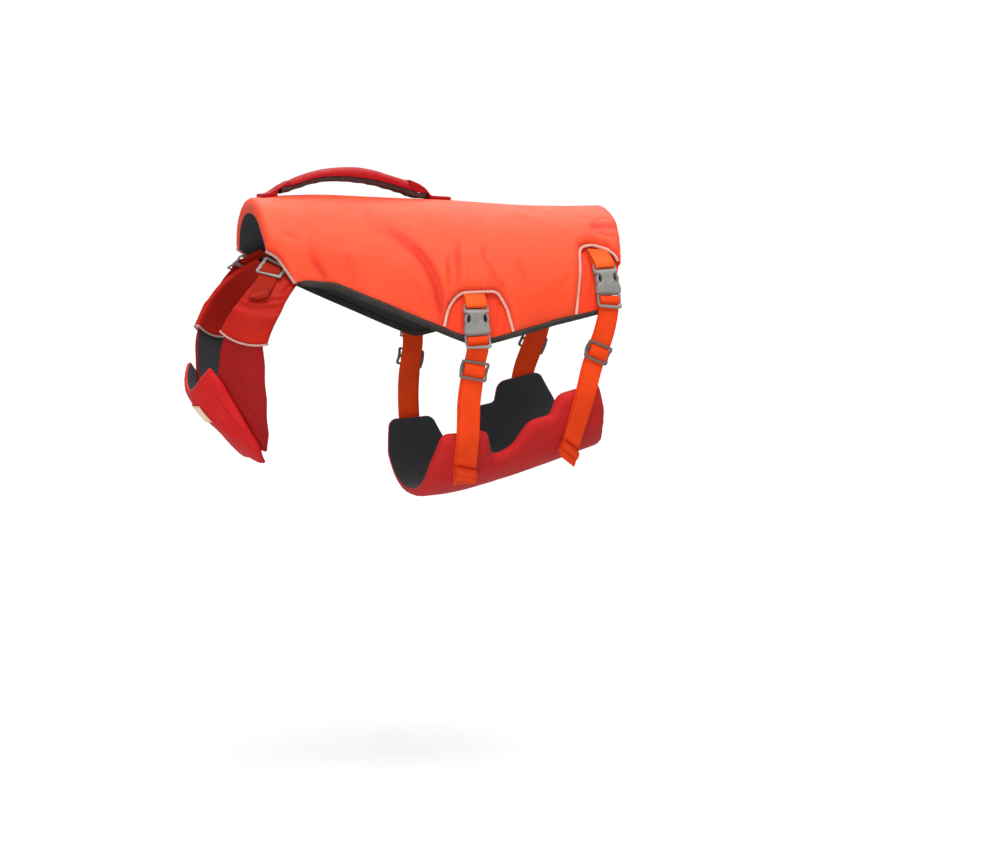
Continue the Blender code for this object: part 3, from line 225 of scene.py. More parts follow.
# Smaller creases of the back panel's cover: side, x0, angle0, x1, angle1, bow, reach, depth, lip.
# L is the wearer's left, and lip the ridge beside the trough, on the line's left where it is above 0.
FINE_FOLDS = (
    ("L", -57, 26, -13, 65, -16, 5, -0.5, 0.0),
    ("L", -44, 38, -20.5, 71, -9, 4.5, 1.6, 0.0),
    ("L", -47, 52, -34, 68, -3, 5, 0.5, 0.3),
    ("L", -100, 40, -92, 55, 3, 8, 0.8, 0.2),
    ("L", -80, 20, -70, 30, 2, 9, 0.5, 0.0),
    ("L", -9, 43, -11, 58, 1, 3.0, 0.9, 0.3),
    ("L", 4.5, 36, -2, 58, 1, 3.3, 1.1, -0.3),
    ("L", 26.5, 39, 23, 48, 0, 4.5, 0.7, 0.2),
    ("L", 24, 43, 45, 62, 2, 4.0, 1.0, -0.3),
    ("L", 58, 44, 66, 60, 3, 7, 0.6, 0.2),
    ("L", 70, 66, 88, 60, 2, 6, 0.25, 0.3),
    ("L", 90, 62, 107, 54, 1, 5, 0.5, 0.4),
    ("L", 136, 30, 168, 31, 0, 7.0, 2.2, 0.0),
    ("L", 134, 31.5, 162, 37, 2, 3.2, 1.1, 0.2),
    ("L", 139, 28.5, 168, 23.5, -2, 3.4, 0.7, 0.2),
    ("L", 128, 22, 146, 25, 1, 5, 0.6, 0.2),
    ("L", 64, 10, 98, 29, 3, 6, -0.7, 0.0),
    ("L", -160, 30, -140, 33, 2, 5, 0.7, 0.3),
    ("L", -134, 38, -117, 52, 2.5, 4.5, 1.1, 0.3),
    ("R", -62, 28, -20, 66, -8, 5, -0.7, 0.0),
    ("R", -52, 46, -28, 69, 4, 4.5, 1.1, 0.3),
    ("R", -96, 36, -84, 53, -3, 7, 0.9, 0.2),
    ("R", -6, 42, -10, 56, -1, 3, 0.9, -0.3),
    ("R", 12, 42, 8, 56, 1, 3.2, 0.9, 0.3),
    ("R", 30, 47, 48, 61, -2, 4, 1.0, 0.3),
    ("R", 66, 42, 70, 57, 2, 6, 0.7, -0.2),
    ("R", 74, 68, 96, 64, -2, 4, 0.8, 0.3),
    ("R", 134, 30, 154, 34, -2, 3.2, 1.4, 0.4),
    ("R", 140, 27, 165, 25, 2, 3.6, 1.0, 0.4),
    ("R", -158, 28, -143, 35, -2, 5, 0.8, 0.3),
    ("R", 50, 14, 92, 24, -4, 7, -0.7, 0.0),
    ("R", -130, 43, -117, 50, 2, 4.2, 0.8, 0.2),
)


# ---------------------------------------------------------------- curves
def unit(vectors):
    """The same directions, all one long."""
    return vectors / np.linalg.norm(vectors, axis=-1, keepdims=True)


def left_of(ahead):
    """Flat directions turned a quarter to the left."""
    return np.stack([-ahead[..., 1], ahead[..., 0]], axis=-1)


def circle(count):
    """Angles evenly round a circle."""
    return np.arange(count) * 2 * math.pi / count


def read(at, s, table):
    """A table's rows between its stations s, in straight steps."""
    return np.stack([np.interp(at, s, column) for column in table.T], axis=-1)


def read_smoothly(at, s, table):
    """A table's rows between its stations s, on smooth curves."""
    return np.stack([through(at, s, column) for column in table.T], axis=-1)


def headings(line):
    """The unit directions of a line at its points."""
    return unit(np.gradient(line, axis=0))


def through(at, stations, values):
    """The smooth curve through a table's values, read at any number of places."""
    at = np.asarray(at, float)
    stations = np.asarray(stations, float)
    values = np.asarray(values, float)
    if values.ndim == 1:
        values = np.broadcast_to(values[:, None], (len(values), at.size))
    slopes = np.gradient(values, stations, axis=0)
    flat = at.ravel()
    i = np.clip(np.searchsorted(stations, flat) - 1, 0, len(stations) - 2)
    column = np.arange(flat.size)
    step = stations[i + 1] - stations[i]
    t = np.clip((flat - stations[i]) / step, 0, 1)
    curve = ((2 * t**3 - 3 * t**2 + 1) * values[i, column]
             + (t**3 - 2 * t**2 + t) * step * slopes[i, column]
             + (3 * t**2 - 2 * t**3) * values[i + 1, column]
             + (t**3 - t**2) * step * slopes[i + 1, column])
    return curve.reshape(at.shape)


def rounded(corners, step=CLOTH_STEP, arc=ARC_STEP):
    """Points along a line of (u, v, radius) corners, each turn an arc, no step longer than given."""
    corners = [(np.array(corner[:2], float), corner[2]) for corner in corners]
    points = [corners[0][0]]
    for k in range(1, len(corners) - 1):
        before, (corner, radius), after = corners[k - 1][0], corners[k], corners[k + 1][0]
        into, out = unit(corner - before), unit(after - corner)
        turn = math.acos(np.clip(into @ out, -1, 1))
        reach = min(radius * math.tan(turn / 2), MOST_OF_HALF * np.linalg.norm(corner - before),
                    MOST_OF_HALF * np.linalg.norm(after - corner))
        if reach < 1e-6 or turn < 0.02:
            points.append(corner)
            continue
        start, end = corner - into * reach, corner + out * reach
        count = max(2, math.ceil(turn / math.radians(arc)))
        for t in np.linspace(0, 1, count + 1):
            weight = 2 * math.cos(turn / 2) * t * (1 - t)
            total = (1 - t)**2 + weight + t**2
            points.append(((1 - t)**2 * start + weight * corner + t**2 * end) / total)
    points.append(corners[-1][0])
    return spaced(points, step)


def spaced(points, step):
    """The same line, its long stretches divided evenly."""
    line = [points[0]]
    for start, end in zip(points[:-1], points[1:]):
        length = np.linalg.norm(end - start)
        if length < 1e-6:
            continue
        count = max(1, round(length / step))
        line += [start + (end - start) * k / count for k in range(1, count + 1)]
    return np.array(line)


def even(line, step):
    """A line of points, read again at equal steps."""
    s = lengths(line)
    at = np.linspace(0, s[-1], max(2, round(s[-1] / step) + 1))
    return read(at, s, line)


def lengths(line):
    """The length along a line at each of its points."""
    return np.concatenate([[0], np.cumsum(np.linalg.norm(np.diff(line, axis=0), axis=1))])


def closed(corners, step=CLOTH_STEP, arc=ARC_STEP):
    """A closed outline of rounded corners, begun in the middle of its last side."""
    middle = (np.array(corners[-1][:2], float) + np.array(corners[0][:2], float)) / 2
    return rounded([(*middle, 0), *corners, (*middle, 0)], step, arc)[:-1]


def looped(outline):
    """A closed outline as a line that ends where it begins."""
    return np.vstack([outline, outline[:1]])


def mirrored_outline(half):
    """A closed outline from its half, which begins and ends on the line v or u = 0."""
    half = np.asarray(half)
    flip = np.array((-1, 1)) if abs(half[0, 0]) < 1e-9 and abs(half[-1, 0]) < 1e-9 else np.array((1, -1))
    return np.vstack([half, (half * flip)[-2:0:-1]])


def nearest(points, line):
    """Each point's distance from a line, the length along the line there, and the side it is on."""
    start, end = line[:-1], line[1:]
    along = end - start
    size = (along**2).sum(1)
    s = lengths(line)
    distance, place, side = (np.empty(len(points)) for _ in range(3))
    for low in range(0, len(points), BATCH):
        part = slice(low, low + BATCH)
        offset = points[part, None, :] - start[None, :, :]
        t = np.clip((offset * along).sum(2) / size, 0, 1)
        apart = offset - t[:, :, None] * along
        far = np.linalg.norm(apart, axis=2)
        k = far.argmin(axis=1)
        row = np.arange(len(k))
        distance[part] = far[row, k]
        place[part] = s[k] + t[row, k] * np.sqrt(size[k])
        side[part] = np.sign(along[k, 0] * offset[row, k, 1] - along[k, 1] * offset[row, k, 0])
    return distance, place, side


def away(points, line):
    """How far each point is from a line."""
    return nearest(points, line)[0]


def within(points, outline):
    """Whether each point lies inside a closed outline."""
    a, b = outline, np.roll(outline, -1, axis=0)
    px, py = points[:, :1], points[:, 1:]
    spans = (a[:, 1] > py) != (b[:, 1] > py)
    rise = np.where(b[:, 1] == a[:, 1], 1e-12, b[:, 1] - a[:, 1])
    crossing = a[:, 0] + (py - a[:, 1]) / rise * (b[:, 0] - a[:, 0])
    return (spans & (px < crossing)).sum(axis=1) % 2 == 1


def inset(outline, distance):
    """A closed outline moved inwards by a small distance."""
    ahead = unit(np.roll(outline, -1, axis=0) - outline)
    side = unit(left_of(ahead + np.roll(ahead, 1, axis=0)))
    widen = np.clip((side * left_of(ahead)).sum(1), 0.4, 1)
    step = side * (distance / widen)[:, None]
    return outline + step if within(outline + step, outline).mean() >= 0.5 else outline - step


def moved_to(path, middle, distance):
    """A path moved sideways, to the side that a middle point is on."""
    side = left_of(headings(path))
    side *= np.sign(((middle - path) * side).sum(1).mean())
    return path + side * distance


def right_side(flat, across=1):
    """Flat places with the left side's moved over to the right; across is the column that runs across."""
    flat = flat.copy()
    flat[:, across] = np.abs(flat[:, across])
    return flat


# ---------------------------------------------------------------- forms
def torso(u, v):
    """u is x, and v runs round the torso from its crown."""
    top, bottom, half = (through(u, TORSO[:, 0], TORSO[:, k]) for k in (1, 2, 3))
    angle = v / TORSO_SPAN
    tall = (top - bottom) / 2
    radius = (np.abs(np.sin(angle) / half)**SQUARENESS
              + np.abs(np.cos(angle) / tall)**SQUARENESS)**(-1 / SQUARENESS)
    return np.stack([u, radius * np.sin(angle), (top + bottom) / 2 + radius * np.cos(angle)], axis=-1)


def underside(u, v):
    """The torso, with v counted from its lowest line to the wearer's right."""
    return torso(u, (math.pi - v / BELLY_SPAN) * TORSO_SPAN)


def breast(u, v):
    """u runs across to the wearer's right and v up, over the front of the chest."""
    rise = v / BREAST_SPAN
    turn = u / (BREAST_SPAN * np.cos(rise))
    columns = np.stack([through(np.degrees(rise), BREAST_RISES, BREAST[:, k]) for k in (1, 0, 1, 2, 3)])
    stations = (-BREAST_TURNS[1], *BREAST_TURNS)
    radius = through(np.degrees(np.abs(turn)).ravel(), stations,
                     columns.reshape(5, -1)).reshape(rise.shape)
    facing = np.stack([-np.cos(rise) * np.cos(turn), np.cos(rise) * np.sin(turn), np.sin(rise)], axis=-1)
    return BREAST_CENTRE + facing * radius[..., None]


def outward(form, u, v):
    """The form's unit normal."""
    tiny = 0.05
    along = form(u + tiny, v) - form(u - tiny, v)
    around = form(u, v + tiny) - form(u, v - tiny)
    normal = unit(np.cross(along, around))
    if form is breast:
        arm = form(u, v) - BREAST_CENTRE
    else:
        arm = (form(u, v) - TORSO_MIDDLE) * (0, 1, 1)
    return normal * np.sign((normal * arm).sum(-1, keepdims=True))


def on(form, u, v, lift):
    """Points over a form."""
    u, v, lift = np.broadcast_arrays(np.asarray(u, float), np.asarray(v, float), np.asarray(lift, float))
    return form(u, v) + outward(form, u, v) * lift[..., None]


def placed(rows, span=TORSO_SPAN):
    """A line of a table's corners on the torso, with their angles turned into v."""
    return rounded([(x, math.radians(angle) * span, radius) for x, angle, radius in rows])


def roll(distance, reach):
    """0 at an edge, rising like a stuffed edge to 1."""
    t = np.clip(distance / reach, 0, 1)
    return np.sqrt(np.clip(1 - (1 - t)**2.2, 0, 1))


def smooth(t):
    """0 to 1, level at both ends."""
    t = np.clip(t, 0, 1)
    return t * t * (3 - 2 * t)


# ---------------------------------------------------------------- closed shapes
class Flat:
    """A flat outline filled with small triangles, and each point's distance from the edge."""

    def __init__(self, outline, spacing, rings=(), holes=(), halvings=2):
        loops = [np.asarray(loop) for loop in (outline, *holes)]
        lines = [looped(loop) for loop in loops]

        def usable(points):
            """Whether each is inside the outline and outside its holes."""
            inside = within(points, loops[0])
            for hole in loops[1:]:
                inside &= ~within(points, hole)
            return inside

        def clearance(points):
            """Each one's distance from the nearest edge."""
            return np.min([away(points, line) for line in lines], axis=0)

        def kept(points, least):
            """The usable ones that are no nearer an edge than given."""
            points = points[usable(points)]
            return points[clearance(points) > least]

        chosen = [kept(inset(loop, distance), 0.9 * ring)
                  for ring in rings for loop in loops for distance in (ring, -ring)]
        low, high = loops[0].min(axis=0), loops[0].max(axis=0)
        across = np.arange(low[0] + spacing / 2, high[0], spacing)
        height = ROW * spacing
        up = np.arange(-math.ceil(-low[1] / height) * height, high[1], height)
        grid = np.array([(x + (spacing / 2 if k % 2 else 0), y) for k, y in enumerate(up) for x in across])
        chosen.append(kept(grid, max(rings, default=0.0) + 0.6 * spacing))
        points, edges = [], []
        for loop in loops:
            first = len(points)
            points += [tuple(p) for p in loop]
            edges += [(first + k, first + (k + 1) % len(loop)) for k in range(len(loop))]
        points += [tuple(p) for p in np.vstack(chosen)]
        flat, _, faces = geometry.delaunay_2d_cdt(points, edges, [], 1, 1e-5)[:3]
        flat = np.array([tuple(p) for p in flat])
        faces = np.array([face for face in faces if len(face) == 3])
        faces = faces[usable(flat[faces].mean(axis=1))]
        for _ in range(halvings):
            flat, faces = halved(flat, faces)
        self.points, self.faces = flat, faces
        self.edge = clearance(flat)

    def over(self, form, low, high, bulge):
        """A closed wall over a form, from one lift to another."""
        return self.wall(on(form, *self.points.T, low), on(form, *self.points.T, high), bulge)

    def wall(self, inner, outer, bulge=0.0, rows=3):
        """A closed wall between inner and outer points, its rim bulged a little."""
        count, faces = len(self.points), self.faces
        directed = np.vstack([faces[:, [0, 1]], faces[:, [1, 2]], faces[:, [2, 0]]])
        third = np.concatenate([faces[:, 2], faces[:, 0], faces[:, 1]])
        key = directed[:, 0] * count + directed[:, 1]
        rim = ~np.isin(key, directed[:, 1] * count + directed[:, 0])
        border, third = directed[rim], third[rim]
        through_wall = outer[border].mean(axis=1) - inner[border].mean(axis=1)
        tangent = inner[border[:, 1]] - inner[border[:, 0]]
        out = np.cross(tangent, through_wall)
        out *= -np.sign((out * (inner[third] - inner[border[:, 0]])).sum(1, keepdims=True))
        out /= np.linalg.norm(out, axis=1, keepdims=True) + 1e-9
        push = np.zeros((count, 3))
        np.add.at(push, border[:, 0], out)
        np.add.at(push, border[:, 1], out)
        used, order = np.unique(border, return_inverse=True)
        order = order.reshape(border.shape)
        push[used] /= np.linalg.norm(push[used], axis=1, keepdims=True) + 1e-9
        layers, points = [used], [inner, outer]
        for row in range(1, rows):
            t = row / rows
            points.append(inner[used] * (1 - t) + outer[used] * t
                          + push[used] * bulge * math.sin(math.pi * t))
            layers.append(2 * count + (row - 1) * len(used) + np.arange(len(used)))
        layers.append(used + count)
        rims = np.vstack([np.column_stack([low[order[:, 0]], low[order[:, 1]], high[order[:, 1]], high[order[:, 0]]])
                          for low, high in zip(layers[:-1], layers[1:])]).tolist()
        cloth = np.column_stack([self.points, self.edge])
        return Shape(np.vstack(points), (faces + count).tolist() + rims + faces[:, ::-1].tolist(),
                     np.vstack([cloth, cloth] + [cloth[used]] * (rows - 1)), len(faces) + len(rims))


class Shape:
    """Points in millimetres, faces, the cloth's flat places, and where the lining's faces begin."""

    def __init__(self, points, faces, cloth=None, lining=None):
        self.points, self.faces = np.asarray(points, float), list(faces)
        self.cloth = np.zeros_like(self.points) if cloth is None else np.asarray(cloth, float)
        self.lining = len(self.faces) if lining is None else lining

    def mirrored(self, signs=(1, -1, 1)):
        """The shape on the other side, its faces still outwards."""
        return Shape(self.points * signs, [face[::-1] for face in self.faces], self.cloth, self.lining)


def joined(shapes):
    """Several shapes as one."""
    points, faces, cloth, size = [], [], [], 0
    for shape in shapes:
        points.append(shape.points)
        cloth.append(shape.cloth)
        faces += [tuple(k + size for k in face) for face in shape.faces]
        size += len(shape.points)
    return Shape(np.vstack(points), faces, np.vstack(cloth))


def halved(flat, faces):
    """Each triangle cut into four."""
    sides = np.sort(np.vstack([faces[:, [0, 1]], faces[:, [1, 2]], faces[:, [2, 0]]]), axis=1)
    unique, back = np.unique(sides, axis=0, return_inverse=True)
    ab, bc, ca = len(flat) + back.reshape(3, -1)
    a, b, c = faces.T
    flat = np.vstack([flat, flat[unique].mean(axis=1)])
    return flat, np.vstack([np.column_stack(t) for t in
                            ((a, ab, ca), (ab, b, bc), (ca, bc, c), (ab, bc, ca))])


def quads(pairs, count):
    """The faces between pairs of like rings of points, each ring given by its first point."""
    return [(here + k, here + (k + 1) % count, there + (k + 1) % count, there + k)
            for here, there in pairs for k in range(count)]


def loft(sections, cloth, ring=False):
    """A closed solid through like sections, capped at both ends or joined into a ring."""
    rows, count = sections.shape[:2]
    steps = [(row * count, (row + 1) % rows * count) for row in range(rows if ring else rows - 1)]
    faces = quads(steps, count)
    if not ring:
        faces.append(tuple(reversed(range(count))))
        faces.append(tuple(range((rows - 1) * count, rows * count)))
    return Shape(sections.reshape(-1, 3), faces, cloth.reshape(-1, 3))


def lofted(lines, cloth, ring=False):
    """A closed solid from the lines along it, in order round its section."""
    return loft(np.stack(lines, axis=1), np.stack(cloth, axis=1), ring)


def strip(s, across, inside=FAR_INSIDE):
    """Cloth places: along a strip, across it, and how far inside its edge, which sets its painted edge shade."""
    return np.column_stack(np.broadcast_arrays(s, across, inside))


def tube_wall(outer, inner, cloth):
    """A tube with an open bore, from matching sections of its outside and its inside."""
    rows, count = outer.shape[:2]
    size = rows * count
    faces = quads([(row * count, (row + 1) * count) for row in range(rows - 1)], count)
    lining = [(size + b, size + a, size + d, size + c) for a, b, c, d in faces]
    ends = quads([(row * count, size + row * count) for row in (0, rows - 1)], count)
    return Shape(np.vstack([outer.reshape(-1, 3), inner.reshape(-1, 3)]), faces + ends + lining,
                 np.vstack([cloth.reshape(-1, 3)] * 2), len(faces) + len(ends))


def cord(path, radius, ring=False):
    """A round tube along a path of points; its radius may change along it."""
    ahead = unit(np.roll(path, -1, axis=0) - np.roll(path, 1, axis=0)) if ring else headings(path)
    first = unit(np.cross(ahead, path - path.mean(axis=0) - CORD_ASIDE))
    second = np.cross(ahead, first)
    radius = np.broadcast_to(radius, (len(path),))[:, None]
    turns, s = circle(CORD_SIDES), lengths(path)
    return lofted([path + radius * (math.cos(t) * first + math.sin(t) * second) for t in turns],
                  [strip(s, t) for t in turns], ring)


# ---------------------------------------------------------------- materials
class Finish:
    """A material built of nodes. Coordinates come from the cloth's flat places, in millimetres."""

    def __init__(self, name, colour, roughness, sheen=0.0, specular=0.4):
        self.material = bpy.data.materials.new(name)
        self.material.use_nodes = True
        self.tree = self.material.node_tree
        self.shader = self.tree.nodes["Principled BSDF"]
        self.shader.inputs["Roughness"].default_value = roughness
        self.shader.inputs["Specular IOR Level"].default_value = specular
        if sheen:
            self.shader.inputs["Sheen Weight"].default_value = sheen
            self.shader.inputs["Sheen Roughness"].default_value = 0.45
        cloth = self.tree.nodes.new("ShaderNodeAttribute")
        cloth.attribute_name = "cloth"
        self.place = cloth.outputs["Vector"]
        split = self.tree.nodes.new("ShaderNodeSeparateXYZ")
        self.tree.links.new(self.place, split.inputs[0])
        self.u, self.v, self.edge = split.outputs
        self.body = self.tree.nodes.new("ShaderNodeTexCoord").outputs["Object"]
        self.colour, self.base, self.bumped = colour, None, None

    def _set(self, sockets, values):
        """Links each socket to a node's output, or gives it a number or a colour."""
        for socket, value in zip(sockets, values):
            if isinstance(value, bpy.types.NodeSocket):
                self.tree.links.new(value, socket)
            else:
                socket.default_value = (*value, 1) if isinstance(value, tuple) else value

    def math(self, operation, *values):
        """A Math node over sockets and numbers."""
        node = self.tree.nodes.new("ShaderNodeMath")
        node.operation = operation
        self._set(node.inputs, values)
        return node.outputs[0]

    def wave(self, place, pitch):
        """A sine of -1 to 1 with the given pitch."""
        return self.math("SINE", self.math("MULTIPLY", place, 2 * math.pi / pitch))

    def noise(self, size, detail, where=None):
        """Noise of 0 to 1 whose lumps are about the given size in millimetres."""
        node = self.tree.nodes.new("ShaderNodeTexNoise")
        self.tree.links.new(where or self.body, node.inputs["Vector"])
        node.inputs["Scale"].default_value = (1 if where else 1 / MM) / size
        node.inputs["Detail"].default_value = detail
        node.inputs["Roughness"].default_value = 0.55
        return node.outputs["Fac"]

    def spread(self, value, low, high, to_low=0.0, to_high=1.0):
        """A value's range from low to high, held to another range."""
        node = self.tree.nodes.new("ShaderNodeMapRange")
        self._set(node.inputs, (value, low, high, to_low, to_high))
        return node.outputs[0]

    def shift(self, factor, towards):
        """Mixes the colour so far towards a colour, or towards a number of times the first one."""
        if not isinstance(towards, tuple):
            towards = shade(self.colour, towards)
        node = self.tree.nodes.new("ShaderNodeMix")
        node.data_type = "RGBA"
        self._set((node.inputs["Factor"], *node.inputs[6:8]), (factor, self.base, towards))
        self.base = node.outputs[2]
        self.tree.links.new(self.base, self.shader.inputs["Base Color"])

    def vary(self, value, first, second):
        """Begins the colour: its first number of times the finish's own, and its second."""
        self.base = shade(self.colour, first)
        self.shift(value, second)

    def rough(self, size, least, most, detail=2.0, low=0.3):
        """Uneven gloss, in lumps of a size."""
        self.tree.links.new(self.spread(self.noise(size, detail), low, 0.7, least, most),
                            self.shader.inputs["Roughness"])

    def bump(self, height, millimetres, strength):
        """Relief from a height, over the relief that is there already."""
        node = self.tree.nodes.new("ShaderNodeBump")
        node.inputs["Strength"].default_value = strength
        node.inputs["Distance"].default_value = millimetres * MM
        self.tree.links.new(height, node.inputs["Height"])
        if self.bumped:
            self.tree.links.new(self.bumped, node.inputs["Normal"])
        self.bumped = node.outputs[0]
        self.tree.links.new(self.bumped, self.shader.inputs["Normal"])


def shade(colour, factor):
    """A colour made so many times as bright."""
    return tuple(min(1.0, c * factor) for c in colour)


def painted_shade_colour(colour):
    """The colour painted as shade into cloth's creases and along its seams: darker and deeper, as where cloth is lit
    by itself.
    """
    return tuple(c * share for c, share in zip(colour, (0.66, 0.34, 0.3)))


EDGE_SHADE_REACH, EDGE_SHADE_MOST = 2.2, 0.3      # how far from its edge cloth has painted shade, in mm, and how much at the edge


def with_painted_crease_shade(edge, amount):
    """Distances from the edge, changed so that painted shade darkens cloth by an amount of 0 to 1 in its creases."""
    amount = np.clip(amount, 0, 1)
    return np.minimum(edge, np.where(amount < EDGE_SHADE_MOST, EDGE_SHADE_REACH * (1 - amount / EDGE_SHADE_MOST),
                                     -(amount - EDGE_SHADE_MOST) / (1 - EDGE_SHADE_MOST)))


def nylon(name, colour, dark=0.72, pitch=0.8, crinkle=0.22, sheen=0.04, specular=0.12):
    """Plain-woven pack cloth: a fine weave, soft crinkles and uneven dye, with painted shade along its seams and in
    its creases.
    """
    f = Finish(name, colour, 0.55, sheen, specular)
    weave = f.math("MULTIPLY", f.wave(f.u, pitch), f.wave(f.v, pitch))
    f.vary(f.spread(f.noise(34, 3), 0.35, 0.65), 0.93, 1.05)
    f.shift(f.spread(f.noise(1.6, 1, f.place), 0.3, 0.7, 0, 0.22), 1.12)
    f.shift(f.spread(weave, -1, 1, 0.16, 0), dark)
    # painted shade: darker near the cloth's edges, and darker still in the creases that lower the edge value below 0
    f.shift(f.math("ADD", f.spread(f.edge, 0, EDGE_SHADE_REACH, EDGE_SHADE_MOST, 0),
                   f.spread(f.edge, -1, 0, 1 - EDGE_SHADE_MOST, 0)), painted_shade_colour(colour))
    f.rough(9, 0.49, 0.63)
    f.bump(f.noise(11, 3, f.place), crinkle * 2.2, 0.55)
    f.bump(f.noise(3.2, 2, f.place), crinkle * 0.7, 0.45)
    f.bump(weave, 0.05, 0.5)
    return f.material


def mesh_lining(name, colour):
    """A soft open knit against the wearer."""
    f = Finish(name, colour, 0.85, 0.05, 0.2)
    holes = f.math("MULTIPLY", f.wave(f.math("ADD", f.u, f.v), 2.1), f.wave(f.math("SUBTRACT", f.u, f.v), 2.1))
    f.vary(f.spread(holes, -0.2, 0.7), 1.5, 0.35)
    f.shift(f.math("MULTIPLY", f.noise(26, 2), 0.35), 1.9)
    f.bump(f.noise(14, 2, f.place), 0.5, 0.5)
    f.bump(holes, -0.16, 0.6)
    return f.material


def web(name, colour):
    """Flat-woven webbing: a herringbone of ribs across it and firm selvedges, with painted shade along its edges and
    cut ends and under other layers.
    """
    f = Finish(name, colour, 0.58, 0.02, 0.12)
    zigzag = f.math("MULTIPLY", f.math("PINGPONG", f.u, 2.5), 0.55)
    rib = f.wave(f.math("ADD", f.v, zigzag), 1.3)
    f.vary(f.spread(f.noise(22, 3), 0.35, 0.65), 0.92, 1.07)
    f.shift(f.spread(rib, -1, 0.6, 0.34, 0), 0.6)
    f.shift(f.spread(f.noise(2.2, 1, f.place), 0.45, 0.75, 0, 0.25), 1.25)
    # painted shade: within about 1 mm of a selvedge or a cut end, and at the places other layers would shade
    f.shift(f.math("ADD", f.spread(f.edge, 0.2, 1.1, 0.4, 0), f.spread(f.edge, -1.0, 0.2, 0.5, 0)),
            painted_shade_colour(colour))
    f.rough(7, 0.52, 0.68)
    f.bump(f.noise(12, 2, f.place), 0.25, 0.5)
    f.bump(rib, 0.13, 0.7)
    f.bump(f.wave(f.u, 0.62), 0.04, 0.5)
    return f.material


def grosgrain(name, colour):
    """Ribbed tape, its ribs across it, rubbed pale on its fold."""
    f = Finish(name, colour, 0.7, 0.03, 0.12)
    rib = f.wave(f.u, 1.05)
    f.vary(f.spread(rib, -1, 1, 0, 0.5), 0.7, 1.35)
    f.shift(f.spread(f.noise(16, 3), 0.42, 0.7, 0, 0.5), (0.062, 0.054, 0.052))
    f.rough(6, 0.62, 0.8)
    f.bump(f.noise(9, 2, f.place), 0.35, 0.6)
    f.bump(rib, 0.09, 0.7)
    return f.material


def elastic(name, colour):
    """Heavy ribbed tape drawn in by its sewing."""
    f = Finish(name, colour, 0.75, 0.04, 0.12)
    rib = f.wave(f.u, 2.2)
    f.vary(f.spread(rib, -1, 1), 0.55, 1.5)
    f.shift(f.spread(f.noise(5, 3, f.place), 0.4, 0.7, 0, 0.5), 1.9)
    f.bump(rib, 0.3, 0.8)
    f.bump(f.wave(f.v, 0.9), 0.06, 0.6)
    return f.material


def reflective(name, colour):
    """Reflective piping: fine bright grain, greyed where it has been rubbed."""
    f = Finish(name, colour, 0.38, 0.03, 0.4)
    grain = f.noise(0.7, 1)
    f.vary(f.spread(grain, 0.35, 0.65), 0.82, 1.12)
    f.shift(f.spread(f.noise(13, 3), 0.5, 0.72, 0, 0.55), (0.36, 0.24, 0.22))
    f.rough(6, 0.3, 0.5, low=0.35)
    f.bump(grain, 0.05, 0.6)
    f.bump(f.wave(f.u, 4.3), 0.1, 0.4)
    return f.material


def plastic(name, colour):
    """Moulded nylon: a fine grain, faint flow marks and scuffs."""
    f = Finish(name, colour, 0.42, specular=0.5)
    f.vary(f.spread(f.noise(9, 3), 0.35, 0.65), 0.88, 1.1)
    f.shift(f.spread(f.noise(2.4, 4), 0.58, 0.72, 0, 0.3), 1.6)
    f.rough(3, 0.34, 0.52, detail=3)
    f.bump(f.noise(0.6, 1), 0.035, 0.6)
    f.bump(f.noise(6, 2), 0.08, 0.4)
    return f.material


def thread(name, colour):
    """Twisted sewing thread."""
    f = Finish(name, colour, 0.5, 0.2)
    f.vary(f.spread(f.wave(f.math("ADD", f.u, f.v), 0.5), -1, 1, 0, 0.6), 0.75, 1.25)
    return f.material


ORANGE, RED, DARK = (1.0, 0.074, 0.02), (0.56, 0.0175, 0.0175), (0.038, 0.032, 0.030)
FINISHES = {
    "shell": nylon("shell_cloth", ORANGE, specular=0.3),
    "insert": nylon("insert_cloth", (0.9, 0.052, 0.014), crinkle=0.3, specular=0.2),
    "lining": mesh_lining("lining_knit", (0.035, 0.036, 0.04)),
    "webbing": web("orange_webbing", (0.90, 0.062, 0.007)),
    # a darker copy of the orange webbing: painted shade for the neck straps
    "neck_web": web("neck_webbing", (0.33, 0.011, 0.002)),
    "loop": web("loop_webbing", (1.0, 0.115, 0.016)),
    "binding": grosgrain("binding_tape", DARK),
    "piping": reflective("reflective_piping", (0.76, 0.40, 0.33)),
    # a darker copy of the piping: painted shade for the cords at the neck and round the sleeves' hems
    "piping_neck": reflective("reflective_piping_shaded_copy", (0.50, 0.28, 0.23)),
    "belly": nylon("belly_cloth", RED, crinkle=0.26),
    "chest": nylon("chest_cloth", (0.64, 0.0125, 0.0145), crinkle=0.3),
    "arm": nylon("arm_cloth", (0.32, 0.0056, 0.006), crinkle=0.3),
    "sleeve": nylon("sleeve_cloth", (0.43, 0.011, 0.0036), crinkle=0.3),
    "grip": nylon("grip_cloth", (0.40, 0.0045, 0.009), crinkle=0.34, sheen=0.0),
    "ribbed": elastic("ribbed_tape", (0.06, 0.034, 0.034)),
    "hardware": plastic("grey_plastic", (0.245, 0.238, 0.226)),
    "slider": plastic("grey_slider_plastic", (0.13, 0.118, 0.112)),
    # near black: painted shade for the hollows under the buckle sockets' windows
    "painted_shade_plate": plastic("grey_plastic_painted_shade", (0.03, 0.029, 0.028)),
    "label": nylon("cream_label", (1.0, 0.76, 0.56), pitch=0.6, crinkle=0.12, dark=0.85),
    "thread_orange": thread("thread_orange", (0.85, 0.06, 0.015)),
    "thread_red": thread("thread_red", (0.45, 0.012, 0.02)),
    "thread_dark": thread("thread_dark", (0.14, 0.125, 0.12)),
    "thread_cream": thread("thread_cream", (0.85, 0.62, 0.36)),
}


